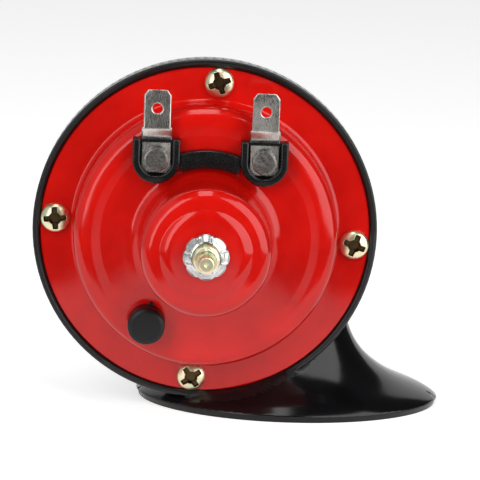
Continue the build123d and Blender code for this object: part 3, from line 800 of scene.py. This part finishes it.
@dataclass
class Stud:
    """The core with its threaded stud, neck and turned tip."""

    major_r: float = 3.0
    minor_r: float = 2.42
    pitch: float = 1.0
    flank: Pair = (0.06, 0.44)
    thread_end: float = 35.7
    thread_fade: float = 0.9
    thread_gap: float = 0.02
    core_r: float = 5.5
    core_foot: float = 16.0
    core_chamfer: float = 0.3
    collar_r: float = 9.0
    collar: Pair = (25.7, 28.8)
    collar_chamfer: float = 0.2
    shank_r: float = 3.3
    shank_chamfer: float = 0.15
    neck_r: float = 2.2
    tip_r: float = 1.8
    tip_foot: float = 36.2
    tip_end: float = 39.4
    segments: int = 96
    rows_per_pitch: int = 14

    def core(self) -> Profile:
        """Give the outline behind the thread, from the core's free end to the seat."""
        low, high = self.collar
        return [(0, self.core_foot), (self.core_r - self.core_chamfer, self.core_foot),
                (self.core_r, self.core_foot + self.core_chamfer), (self.core_r, low),
                (self.collar_r - self.collar_chamfer, low), (self.collar_r, low + self.collar_chamfer),
                (self.collar_r, high), (self.shank_r, high),
                (self.shank_r, SEAT_LEVEL - self.shank_chamfer),
                (self.shank_r - self.shank_chamfer, SEAT_LEVEL)]

    def tip(self) -> Profile:
        """Give the outline in front of the thread: neck, tip, chamfer and centre dimple."""
        neck, tip, foot, end = self.neck_r, self.tip_r, self.tip_foot, self.tip_end
        return [(neck, self.thread_end + self.thread_gap), (neck, foot - 0.12), (neck - 0.12, foot),
                (tip + 0.06, foot), (tip - 0.05, foot + 0.25), (tip, foot + 0.5), (tip, end - 0.42),
                (tip - 0.09, end - 0.16), (tip - 0.32, end), (0.5, end), (0.36, end - 0.1), (0, end - 0.5)]

    def thread(self, bm: BMesh) -> None:
        """Add the thread: a surface whose radius follows the helix, run out at both ends."""
        rows = math.ceil((self.thread_end - SEAT_LEVEL) / self.pitch * self.rows_per_pitch)
        rings = []
        for row in range(rows + 1):
            level = SEAT_LEVEL + (self.thread_end - SEAT_LEVEL) * row / rows
            run_out = smooth_step(self.thread_end, self.thread_end - self.thread_fade, level)
            ring = []
            for k, angle in enumerate(whole_turn(self.segments)):
                phase = ((level - SEAT_LEVEL) / self.pitch - k / self.segments) % 1.0
                crest = 1 - smooth_step(*self.flank, abs(phase - 0.5))
                radius = self.minor_r + (self.major_r - self.minor_r) * crest * run_out
                ring.append(bm.verts.new(place(*on_circle(radius, angle), level)))
            rings.append(ring)
        join_rings(bm, rings)
        self.cap(bm, rings[0], SEAT_LEVEL, self.shank_r - self.shank_chamfer)
        self.cap(bm, rings[-1], self.thread_end + self.thread_gap, self.neck_r)

    def cap(self, bm: BMesh, ring: Ring, level: float, radius: float) -> None:
        """Close the thread's end to the turned outline beside it."""
        angles = whole_turn(self.segments)
        join_rings(bm, [ring, [bm.verts.new(place(*on_circle(radius, angle), level)) for angle in angles]])

    def build(self, zinc: Material) -> Object:
        """Turn the stud and cut its thread."""
        bm = bmesh.new()
        turn_profile(bm, self.core(), self.segments, closed=False)
        self.thread(bm)
        turn_profile(bm, self.tip(), self.segments, closed=False)
        return dress(mesh_object("threaded_stud", bm, 30), Body.HORN, zinc,
                     ["mounting_stud"])


@dataclass
class StarWasher:
    """The eight-petal washer that bites into the bracket."""

    petals: int = 8
    radius: float = 5.35
    notch: float = 0.42
    notch_power: int = 4
    bore_r: float = 3.35
    foot_level: float = 29.7
    hub_height: float = 2.6
    rim_height: float = 1.3
    slope_power: float = 1.3
    ridge: float = 0.22
    ridge_across: Pair = (0.72, 0.9)
    ridge_along: Pair = (0.05, 0.3)
    facet: float = 0.16
    facet_across: Pair = (0.55, 0.72)
    facet_from: Pair = (0.32, 0.45)
    facet_to: Pair = (0.8, 0.9)
    edge_drop: float = 0.15
    edge_from: float = 0.94
    turn: float = 0.35

    def phase(self, angle: float) -> float:
        """Give how far an angle is across its petal, from -1 to 1."""
        return 2 * (((angle + self.turn) * self.petals / FULL_TURN) % 1.0) - 1

    def edge(self, angle: float) -> float:
        """Give the outline's radius: round petals with a notch between each two."""
        return self.radius - self.notch * abs(self.phase(angle)) ** self.notch_power

    def front(self, radius: float, angle: float, share: float) -> float:
        """Give the height: petals that slope outwards, each a little pillowed, with grooves between."""
        slope = self.hub_height - (self.hub_height - self.rim_height) * share ** self.slope_power
        across = abs(self.phase(angle))
        ridge = self.ridge * smooth_step(*self.ridge_across, across) * smooth_step(*self.ridge_along, share)
        facet = smooth_step(*self.facet_from, share) * (1 - smooth_step(*self.facet_to, share))
        facet *= 1 - smooth_step(*self.facet_across, across)
        return slope + ridge - self.facet * facet - self.edge_drop * smooth_step(self.edge_from, 1.0, share)

    def build(self, plate: Material) -> Object:
        """Press the washer."""
        bm = bmesh.new()
        Relief(self.edge, self.front, inner_r=self.bore_r, rings=26, segments=256).mesh(bm)
        bmesh.ops.translate(bm, verts=bm.verts, vec=place(0, 0, self.foot_level))
        return dress(mesh_object("star_washer_pressing", bm, 35), Body.HORN, plate,
                     ["star_washer"])


# ---- terminals -------------------------------------------------------------------------------
@dataclass
class FlatPart:
    """A plate cut to an outline with holes, with rounded edges, lying at a level."""

    outlines: list[Profile]
    low: float
    high: float
    edge: float = 0.2
    edge_steps: int = 3

    def make(self, name: str) -> Object:
        """Extrude the outline with a rounded edge and lay it in the frame."""
        curve = bpy.data.curves.new(name, "CURVE")
        curve.dimensions = "2D"
        curve.fill_mode = "BOTH"
        curve.bevel_depth = self.edge * MM
        curve.bevel_resolution = self.edge_steps
        curve.offset = -self.edge * MM
        curve.extrude = ((self.high - self.low) / 2 - self.edge) * MM
        for outline in self.outlines:
            spline = curve.splines.new("POLY")
            spline.points.add(len(outline) - 1)
            for point, (x, z) in zip(spline.points, outline):
                point.co = (x * MM, z * MM, 0, 1)
            spline.use_cyclic_u = True
        obj = bpy.data.objects.new(name, curve)
        bpy.context.scene.collection.objects.link(obj)
        middle = place(0, 0, (self.low + self.high) / 2)
        obj.matrix_world = Matrix.Translation(middle) @ Matrix.Rotation(math.pi / 2, 4, "X")
        return plain_mesh(obj, name, 40)


def circle_line(x: float, z: float, radius: float, steps: int = 48) -> Profile:
    """Give a circle as an outline."""
    return [on_circle(radius, angle, (x, z)) for angle in whole_turn(steps)]


def merge(name: str, pieces: list[Object], sharp_deg: float = 40.0) -> Object:
    """Put several plain meshes into one object.

    Args:
        name: The new object's name.
        pieces: The mesh objects. They are removed.
        sharp_deg: Edges that turn by more than this stay sharp.

    Returns:
        The new object.
    """
    bm = bmesh.new()
    for piece in pieces:
        bm.from_mesh(piece.data)
        bpy.data.objects.remove(piece)
    return mesh_object(name, bm, sharp_deg)


@dataclass
class TerminalBlock:
    """The black moulding with a U-shaped socket round each terminal and a strap between them."""

    terminal_x: Pair = TERMINAL_X
    terminal_z: float = TERMINAL_Z
    ledge: float = LEDGE
    socket_r: float = 5.5
    wall: float = 1.75
    wall_lift: float = 0.2
    wall_edge: float = 0.42
    top_z: float = TERMINAL_Z + 4.8
    floor: float = 1.2
    floor_sink: float = 1.0
    floor_edge: float = 0.1
    height: float = 3.6
    bar: float = 0.8
    bar_gap: float = 0.85
    bar_height: float = 0.75
    bar_inset: float = 0.3
    bar_edge: float = 0.12
    strap_inner_r: float = 17.3
    strap_width: float = 4.2
    strap_height: float = 2.6
    strap_sink: float = 1.2
    strap_edge: float = 0.45
    strap_overlap: float = 1.0
    strap_steps: int = 40

    def bowl(self, x: float, radius: float, steps: int = 28) -> Profile:
        """Give the half circle below a terminal, from left to right."""
        turns = [math.pi + math.pi * k / steps for k in range(steps + 1)]
        return [on_circle(radius, turn, (x, self.terminal_z)) for turn in turns]

    def wall_shape(self, x: float) -> Profile:
        """Give the socket's wall: the outer U joined to the inner one at its two ends."""
        outer, inner, top = self.socket_r, self.socket_r - self.wall, self.top_z
        return ([(x - outer, top)] + self.bowl(x, outer) + [(x + outer, top), (x + inner, top)]
                + self.bowl(x, inner)[::-1] + [(x - inner, top)])

    def socket(self, x: float, name: str) -> list[Object]:
        """Make one socket: floor, wall and the thin bar across its open end."""
        low, top = self.ledge, self.top_z
        bar_low = low + self.floor + self.bar_gap
        reach = self.socket_r - self.bar_inset
        floor = self.bowl(x, self.socket_r) + [(x + self.socket_r, top), (x - self.socket_r, top)]
        bar = [(x - reach, top - self.bar), (x + reach, top - self.bar), (x + reach, top), (x - reach, top)]
        parts = {
            "floor": FlatPart([floor], low - self.floor_sink, low + self.floor, self.floor_edge),
            "wall": FlatPart([self.wall_shape(x)], low + self.wall_lift, low + self.height,
                             self.wall_edge, 4),
            "bar": FlatPart([bar], bar_low, bar_low + self.bar_height, self.bar_edge),
        }
        return [part.make(f"{name}_{kind}") for kind, part in parts.items()]

    def strap(self) -> Object:
        """Make the curved strap between the sockets."""
        inner_r, outer_r = self.strap_inner_r, self.strap_inner_r + self.strap_width
        reach = self.socket_r - self.strap_overlap
        left, right = (math.acos((x - math.copysign(reach, x)) / outer_r) for x in self.terminal_x)
        angles = [right + (left - right) * k / self.strap_steps for k in range(self.strap_steps + 1)]
        line = [on_circle(outer_r, a) for a in angles] + [on_circle(inner_r, a) for a in angles[::-1]]
        low, high = self.ledge - self.strap_sink, self.ledge + self.strap_height
        return FlatPart([line], low, high, self.strap_edge, 4).make("strap")

    def build(self, nylon: Material) -> Object:
        """Mould the block."""
        pieces = [self.strap()]
        for side, x in enumerate(self.terminal_x):
            pieces += self.socket(x, f"socket_{side}")
        block = merge("terminal_block", pieces)
        return dress(block, Body.HORN, nylon, ["terminal_insulator"])


@dataclass
class Blade:
    """A terminal blade: base in the socket, joggle, and a chamfered blade with a countersunk hole."""

    side: str
    x: float
    lean_deg: float
    low: float = LEDGE + 1.2
    sheet: float = 0.8
    base_width: float = 7.0
    base_low_z: float = TERMINAL_Z - 3.3
    shoulder_z: float = TERMINAL_Z + 7.6
    shoulder_ease: Pair = (0.1, 0.4)
    width: float = 6.3
    length: float = 8.6
    chamfer: float = 1.2
    chamfer_share: float = 0.8
    edge: float = 0.3
    tip_thinning: float = 0.6
    tip_taper: Pair = (1.4, 0.5)
    hole_r: float = 1.15
    hole_drop: float = 4.3
    joggle_z: Pair = (TERMINAL_Z + 4.9, TERMINAL_Z + 7.5)
    joggle: float = 0.9
    lean_start: float = 0.6
    cuts: int = 26

    @property
    def tip(self) -> float:
        """Z of the blade's end."""
        return self.shoulder_z + self.length

    def outline(self) -> Profile:
        """Give the blade's outline from its base to its tip."""
        half, base, shoulder = self.width / 2, self.base_width / 2, self.shoulder_z
        ease, drop = self.shoulder_ease
        right = [(base, self.base_low_z), (base, shoulder - drop), (base - ease, shoulder - ease),
                 (half, shoulder), (half, self.tip - self.chamfer),
                 (half - self.chamfer * self.chamfer_share, self.tip)]
        return [(self.x + x, z) for x, z in right] + [(self.x - x, z) for x, z in right[::-1]]

    def bend(self, bm: BMesh) -> None:
        """Step the blade forward above its socket, lean it, and thin its tip."""
        taper_low, taper_high = (self.tip - below for below in self.tip_taper)
        middle = (SEAT_LEVEL - self.low - self.sheet / 2) * MM
        for vert in bm.verts:
            z = vert.co.z / MM
            thin = 1 - self.tip_thinning * smooth_step(taper_low, taper_high, z)
            vert.co.y = middle + (vert.co.y - middle) * thin
            above = max(z - self.joggle_z[1] + self.lean_start, 0.0)
            vert.co.y += math.tan(math.radians(self.lean_deg)) * above * MM
            vert.co.y -= self.joggle * smooth_step(*self.joggle_z, z) * MM

    def build(self, plate: Material) -> Object:
        """Blank, pierce and bend the blade."""
        hole = circle_line(self.x, self.tip - self.hole_drop, self.hole_r)
        flat = FlatPart([self.outline(), hole], self.low, self.low + self.sheet, self.edge,
                        4).make(f"{self.side}_blade_flat")
        bm = bmesh.new()
        bm.from_mesh(flat.data)
        bpy.data.objects.remove(flat)
        low = self.joggle_z[0]
        for step in range(self.cuts + 1):
            height = low + (self.tip - low) * step / self.cuts
            bmesh.ops.bisect_plane(bm, geom=bm.verts[:] + bm.edges[:] + bm.faces[:], dist=1e-7,
                                   plane_co=(0, 0, height * MM), plane_no=(0, 0, 1))
        bmesh.ops.triangulate(bm, faces=[f for f in bm.faces if len(f.verts) > 4])
        self.bend(bm)
        made = mesh_object(f"{self.side}_blade", bm, 25)
        return dress(made, Body.HORN, plate, [f"{self.side}_terminal_tab"])


@dataclass
class Rivet:
    """A terminal rivet with a low turned head."""

    side: str
    x: float
    z: float = TERMINAL_Z
    seat: float = LEDGE + 2.0
    head_r: float = 2.9
    head_height: float = 1.3
    flat_share: float = 0.8
    dish: float = 0.1
    edge_drop: float = 0.12
    shank_r: float = 1.5
    tail_r: float = 2.6
    tail: Pair = (0.4, 1.2)
    roundings: tuple[float, ...] = (0, 0.3, 0.16, 0.05, 0, 0, 0, 0.1, 0)

    def build(self, spun: Material) -> Object:
        """Turn the rivet."""
        top = self.seat + self.head_height
        tail_low, tail_high = self.tail
        corners = [(0, top - self.dish), (self.head_r * self.flat_share, top),
                   (self.head_r, top - self.edge_drop), (self.head_r, self.seat), (self.shank_r, self.seat),
                   (self.shank_r, tail_high), (self.tail_r, tail_high), (self.tail_r, tail_low),
                   (0, tail_low)]
        profile = rounded(corners, self.roundings, steps=5)
        bm = bmesh.new()
        turn_profile(bm, profile, 96, closed=False, centre=(self.x, self.z))
        made = mesh_object(f"{self.side}_rivet", bm, 40)
        return dress(made, Body.HORN, spun, [f"{self.side}_terminal_rivet"])


@dataclass
class Plug:
    """The rubber cap over the tone adjuster, with the gate mark at its side."""

    x: float = -13.22
    z: float = -20.1
    seat: float = LEDGE - 0.7
    radius: float = 4.35
    height: float = 6.1
    wall: float = 1.4
    shoulder: float = 0.9
    crown: float = 0.02
    edge_drop: float = 0.35
    roundings: tuple[float, ...] = (0, 0.3, 0.55, 0.1, 0.1, 0.3, 0)
    nub_r: float = 0.7
    nub_height: float = 1.8
    nub_rounding: float = 0.3
    nub_deg: float = 78.0

    def build(self, rubber: Material) -> Object:
        """Mould the cap and its nub."""
        top = self.seat + self.height
        inner = self.radius - self.wall
        corners = [(0, top), (self.radius - self.shoulder, top - self.crown),
                   (self.radius, top - self.edge_drop), (self.radius, self.seat), (inner, self.seat),
                   (inner, top - self.wall), (0, top - self.wall)]
        nub_top = self.seat + self.nub_height
        nub = [(0, nub_top), (self.nub_r, nub_top), (self.nub_r, self.seat), (0, self.seat)]
        middle = (self.x, self.z)
        side = on_circle(self.radius, math.radians(self.nub_deg), middle)
        bm = bmesh.new()
        turn_profile(bm, rounded(corners, self.roundings, steps=6), 96, closed=False, centre=middle)
        turn_profile(bm, rounded(nub, (0, self.nub_rounding, 0, 0), steps=4), 24, closed=False, centre=side)
        return dress(mesh_object("adjuster_cap", bm, 40), Body.HORN, rubber, ["adjuster_plug"])


# ---- pieces inside the horn ------------------------------------------------------------------
@dataclass
class InnerWorks:
    """The CAD pieces that stay as they are, each with the finish of its stock."""

    finishes: dict[PlainInner, tuple[str, ...]] = field(default_factory=lambda: {
        PlainInner("oiled_gasket_board", "#6d5a41", "#5a4a36", 0.0, 0.8, 0.5): (
            "cup_gasket", "trumpet_gasket"),
        PlainInner("rolled_spring_steel", "#8b8e93", "#7b7e83", 1.0, 0.28, 0.2, (1, 1, 0.1)): (
            "diaphragm", "contact_arm", "contact_leaf"),
        PlainInner("turned_soft_iron", "#6f6f70", "#5f5f61", 1.0, 0.35, 0.3): ("pole_ring", "armature"),
        PlainInner("barrel_zinc", "#b9b9b6", "#a6a6a4", 1.0, 0.3, 0.5): (
            "armature_front_washer", "armature_back_washer", "adjusting_screw"),
        PlainInner("natural_nylon", "#d8d2c3", "#cbc4b2", 0.0, 0.45, 0.8): ("coil_bobbin",),
        PlainInner("enamelled_copper", "#9b4a22", "#7d3515", 1.0, 0.3, 0.32, (0.2, 4.0, 0.2)): (
            "coil_winding",),
        PlainInner("phenolic_paper", "#241a14", "#1c1510", 0.0, 0.5, 0.4): (
            "left_inner_insulator", "right_inner_insulator"),
        PlainInner("vulcanised_fibre", "#5a2418", "#4a1c12", 0.0, 0.6, 0.4): (
            "leaf_bottom_insulator", "leaf_top_insulator"),
        PlainInner("drawn_brass", "#c9a45a", "#b9924a", 1.0, 0.28, 0.3): (
            "leaf_spacer", "leaf_rivet", "adjuster_bush", "coil_eyelet"),
        PlainInner("sintered_tungsten", "#8c8c8e", "#7a7a7d", 1.0, 0.4, 0.15): (
            "fixed_contact", "moving_contact"),
    })

    def build(self) -> None:
        """Put each finish on its pieces."""
        for finish, names in self.finishes.items():
            material = finish.make()
            for name in names:
                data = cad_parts[name].data
                data.materials.clear()
                data.materials.append(material)
                LOG.info("%s: %s", name, finish.name)


# ---- room, light and camera ------------------------------------------------------------------
def seen_directly(tree: NodeTree) -> Socket:
    """Give 1 for what the eye, a mirror or glass sees, and 0 for light that falls on a surface."""
    path = add_node(tree, "ShaderNodeLightPath")
    seen = path.outputs["Is Camera Ray"]
    for kind in ("Is Glossy Ray", "Is Transmission Ray"):
        either = add_node(tree, "ShaderNodeMath", {"operation": "MAXIMUM"},
                          {0: seen, 1: path.outputs[kind]})
        seen = either.outputs[0]
    return seen


@dataclass(frozen=True)
class Card:
    """An upright card round the horn that only mirrors see: a lit soft box or dark felt."""

    name: str
    from_deg: float
    to_deg: float
    low: float
    high: float
    radiance: float
    distance: float = 0.3
    steps: int = 12

    def build(self, make: Callable[[str, float], Material]) -> None:
        """Bend the card round the horn's upright axis, from one clock angle to another.

        Args:
            make: Gives the material for a name and a radiance.
        """
        bm = bmesh.new()
        rows = []
        for k in range(self.steps + 1):
            turn = math.radians(self.from_deg + (self.to_deg - self.from_deg) * k / self.steps)
            x, y = self.distance * math.sin(turn), -self.distance * math.cos(turn)
            rows.append([bm.verts.new((x, y, self.low)), bm.verts.new((x, y, self.high))])
        for one, two in zip(rows, rows[1:]):
            bm.faces.new([one[0], one[1], two[1], two[0]])
        stand_card(self.name, bm, make(self.name, self.radiance))


def stand_card(name: str, bm: BMesh, material: Material) -> None:
    """Stage a card that mirrors see and nothing else does.

    Args:
        name: Its name.
        bm: Its mesh, in metres. It is freed.
        material: Its face.
    """
    card = mesh_object(name, bm)
    card.data.materials.append(material)
    for kind in ("camera", "diffuse", "shadow", "transmission", "volume_scatter"):
        setattr(card, "visible_" + kind, False)


def matt_face(name: str, tone: float, roughness: float, radiance: float) -> ShaderKit:
    """Start a face without a mirror gloss: a grey tone that may also shine.

    Args:
        name: The material's name.
        tone: Its grey, from 0 to 1.
        roughness: How rough it is.
        radiance: How bright it shines; 1 is white.
    """
    kit = ShaderKit(name)
    kit.set(Base_Color=(tone, tone, tone, 1), Roughness=roughness, Specular_IOR_Level=0.0,
            Emission_Color=(1, 1, 1, 1), Emission_Strength=radiance)
    return kit


@dataclass
class Studio:
    """A white sweep in a small light tent: soft boxes at both sides and above, dark in front."""

    floor_z: float = -44.2
    floor_gap: float = 0.02
    floor_size: float = 6.0
    floor_tone: float = 0.86
    floor_glow: float = 0.6
    room_light: float = 0.22
    cloth_tone: float = 0.01
    felt_lift: float = 0.6
    felt_front: Pair = (0.3, -0.6)
    paper_edge: Profile = field(default_factory=lambda: [
        (0.0, 0.196), (0.016, 0.196), (0.020, 0.135), (0.030, 0.108), (0.045, 0.088), (0.3, 0.080)])
    edge_step: float = 0.004
    ripples: Profile = field(default_factory=lambda: [(0.002, 1.7), (0.0015, 3.1)])
    ceiling: float = 0.42
    ceiling_felt: tuple[float, ...] = (-0.7, 0.7, -0.7, 0.35)
    ceiling_box: tuple[float, ...] = (-0.07, 0.04, -0.27, 0.15)
    box_drop: float = 0.01
    box_radiance: float = 3.6
    cards: tuple[Card, ...] = (
        Card("front_felt", -21, 21, -0.043, 0.42, 0.0),
        Card("left_box", -40, -21, -0.043, 0.36, 3.4),
        Card("left_wall", -140, -40, -0.043, 0.42, 0.5),
        Card("right_box", 21, 88, -0.043, 0.42, 2.9),
        Card("right_wall", 88, 140, -0.043, 0.42, 0.04),
    )

    def floor(self) -> None:
        """Lay the pale floor; it stays white to the eye but keeps the horn's shadow."""
        bm = bmesh.new()
        bmesh.ops.create_grid(bm, x_segments=1, y_segments=1, size=self.floor_size / 2)
        bmesh.ops.translate(bm, verts=bm.verts, vec=(0, 0, (self.floor_z - self.floor_gap) * MM))
        floor = mesh_object("floor", bm)
        kit = matt_face("white_sweep", self.floor_tone, 0.9, 0.0)
        glow = add_node(kit.tree, "ShaderNodeMath", {"operation": "MULTIPLY"},
                        {0: seen_directly(kit.tree), 1: self.floor_glow})
        kit.tree.links.new(glow.outputs[0], kit.shader.inputs["Emission Strength"])
        floor.data.materials.append(kit.material)

    def world(self) -> None:
        """Light the room evenly; the eye, metal and glass see a white room."""
        world = bpy.data.worlds.new("studio")
        bpy.context.scene.world = world
        world.use_nodes = True
        tree = world.node_tree
        tree.nodes.clear()
        strength = add_node(tree, "ShaderNodeMapRange",
                            inputs={"Value": seen_directly(tree), "To Min": self.room_light, "To Max": 1.0})
        light = add_node(tree, "ShaderNodeBackground",
                         inputs={"Color": (1, 1, 1, 1), "Strength": strength.outputs[0]})
        add_node(tree, "ShaderNodeOutputWorld", inputs={"Surface": light.outputs[0]})

    def card_face(self, name: str, radiance: float) -> Material:
        """Give a card's face: black felt, or white cloth that shines with a radiance."""
        return matt_face(name, self.cloth_tone, 1.0, radiance).material

    def tent(self) -> None:
        """Stand the cards, hang the ceiling with its glowing card, a painted reflection of the overhead box
        that only mirrors see, and lay the felt before the paper's end.
        """
        for card in self.cards:
            card.build(self.card_face)
        self.overhead("ceiling_felt", self.ceiling_felt, self.ceiling, 0.0)
        self.overhead("ceiling_box", self.ceiling_box, self.ceiling - self.box_drop, self.box_radiance)
        level = (self.floor_z + self.felt_lift) * MM
        half = subdivided(self.paper_edge, self.edge_step)
        edge = [(-x, y) for x, y in half[:0:-1]] + half
        ragged = [(x, -y - sum(size * math.sin(k * rate) for size, rate in self.ripples), level)
                  for k, (x, y) in enumerate(edge)]
        side, front = self.felt_front
        self.sheet("floor_felt", [(side, front, level), (-side, front, level)] + ragged, 0.0)

    def overhead(self, name: str, sides: tuple[float, ...], height: float, radiance: float) -> None:
        """Hang a level sheet by its left, right, front and back sides, in metres."""
        left, right, front, back = sides
        corners = ((left, front), (right, front), (right, back), (left, back))
        self.sheet(name, [(x, y, height) for x, y in corners], radiance)

    def sheet(self, name: str, corners: Sequence[Triple], radiance: float) -> None:
        """Hang one flat card by its corners, in metres."""
        bm = bmesh.new()
        bm.faces.new([bm.verts.new(c) for c in corners])
        stand_card(name, bm, self.card_face(name, radiance))

    def soft_box(self, name: str, clock_deg: float, off_axis_deg: float, size: Pair,
                 radiance: float, distance: float = 1.0) -> None:
        """Hang a soft box that lights the horn; mirrors see the tent's cards in its place.

        Args:
            name: Its name.
            clock_deg: Where it hangs as seen from the front, from 12 o'clock to the right.
            off_axis_deg: How far it stands off the horn's axis.
            size: Its width and length in metres.
            radiance: How bright its face is; 1 is white.
            distance: How far it stands from the cup, in metres.
        """
        lamp = bpy.data.lights.new(name, "AREA")
        lamp.shape = "RECTANGLE"
        lamp.size, lamp.size_y = size
        lamp.energy = radiance * math.pi * size[0] * size[1]
        clock, off = math.radians(clock_deg), math.radians(off_axis_deg)
        back = Vector((math.sin(off) * math.sin(clock), -math.cos(off), math.sin(off) * math.cos(clock)))
        along = Vector((math.cos(clock), 0, -math.sin(clock)))
        across = along.cross(back)
        obj = bpy.data.objects.new(name, lamp)
        obj.visible_glossy = False
        bpy.context.scene.collection.objects.link(obj)
        turn = Matrix((across, along, back)).transposed().to_4x4()
        obj.matrix_world = Matrix.Translation(place(0, 0, 0) + back * distance) @ turn

    def lights(self) -> None:
        """Hang the lamps: a large one on each side in front, and one overhead."""
        self.soft_box("left_lamp", -50, 40, (0.42, 0.85), 4.0)
        self.soft_box("right_lamp", 54, 47, (0.42, 0.85), 4.0)
        self.soft_box("top_lamp", 0, 75, (0.5, 0.8), 1.6)


@dataclass
class Viewpoint:
    """The camera: where it stands and how the horn sits in its picture."""

    distance: float = 600.0
    height_deg: float = 11.3
    side_deg: float = -0.9
    roll_deg: float = 2.0
    mm_per_pixel: float = 0.238
    picture: float = 480.0
    flange_at: Pair = (205.0, 230.6)
    sensor_mm: float = 36.0

    def build(self) -> None:
        """Set up the camera so that the flange's middle lands on its place in the picture."""
        up, side, roll = (math.radians(v) for v in (self.height_deg, self.side_deg, self.roll_deg))
        flange = place(0, 0, 0)
        offset = Vector((math.sin(side) * math.cos(up), -math.cos(side) * math.cos(up), math.sin(up)))
        focal = self.distance / self.mm_per_pixel
        ahead = -offset
        right = ahead.cross(Vector((0, 0, 1))).normalized()
        above = right.cross(ahead)
        rolled = Matrix((math.cos(roll) * right + math.sin(roll) * above,
                         math.cos(roll) * above - math.sin(roll) * right, -ahead)).transposed()
        middle = self.picture / 2
        ray = Vector((self.flange_at[0] - middle, middle - self.flange_at[1], -focal)).normalized()
        aim = Vector((0, 0, -1)).rotation_difference(ray).to_matrix()
        camera = bpy.data.cameras.new("camera")
        camera.sensor_width = self.sensor_mm
        camera.lens = focal * self.sensor_mm / self.picture
        camera.clip_end = 20
        obj = bpy.data.objects.new("camera", camera)
        bpy.context.scene.collection.objects.link(obj)
        obj.matrix_world = Matrix.Translation(flange + offset * self.distance * MM) @ (
            rolled @ aim.transposed()).to_4x4()
        bpy.context.scene.camera = obj


def main() -> None:
    """Build the horn's looks, its light and its camera."""
    logging.basicConfig(level=logging.INFO, format="%(name)s: %(message)s")
    bpy.context.scene.view_settings.view_transform = "Standard"
    zinc = YellowZinc().make()
    tin = BrightPlate("tinned_brass_strip").make()
    CupPressing().build(STOVED_ENAMEL.make())
    Trumpet().build(GLOSS_ABS.make(), SATIN_ABS.make())
    FlangeScrews().build(zinc, RECESS_SHADE_ZINC.make())
    Stud().build(zinc)
    StarWasher().build(SPRING_STEEL.make())
    TerminalBlock().build(FILLED_NYLON.make())
    for side, x, lean in zip(("left", "right"), TERMINAL_X, BLADE_LEANS):
        Blade(side, x, lean).build(tin)
        Rivet(side, x).build(SpunHead(f"{side}_spun_head", (x, TERMINAL_Z)).make())
    Plug().build(SOFT_RUBBER.make())
    InnerWorks().build()
    studio = Studio()
    studio.floor()
    studio.world()
    studio.tent()
    studio.lights()
    Viewpoint().build()


if __name__ == "__main__":
    main()
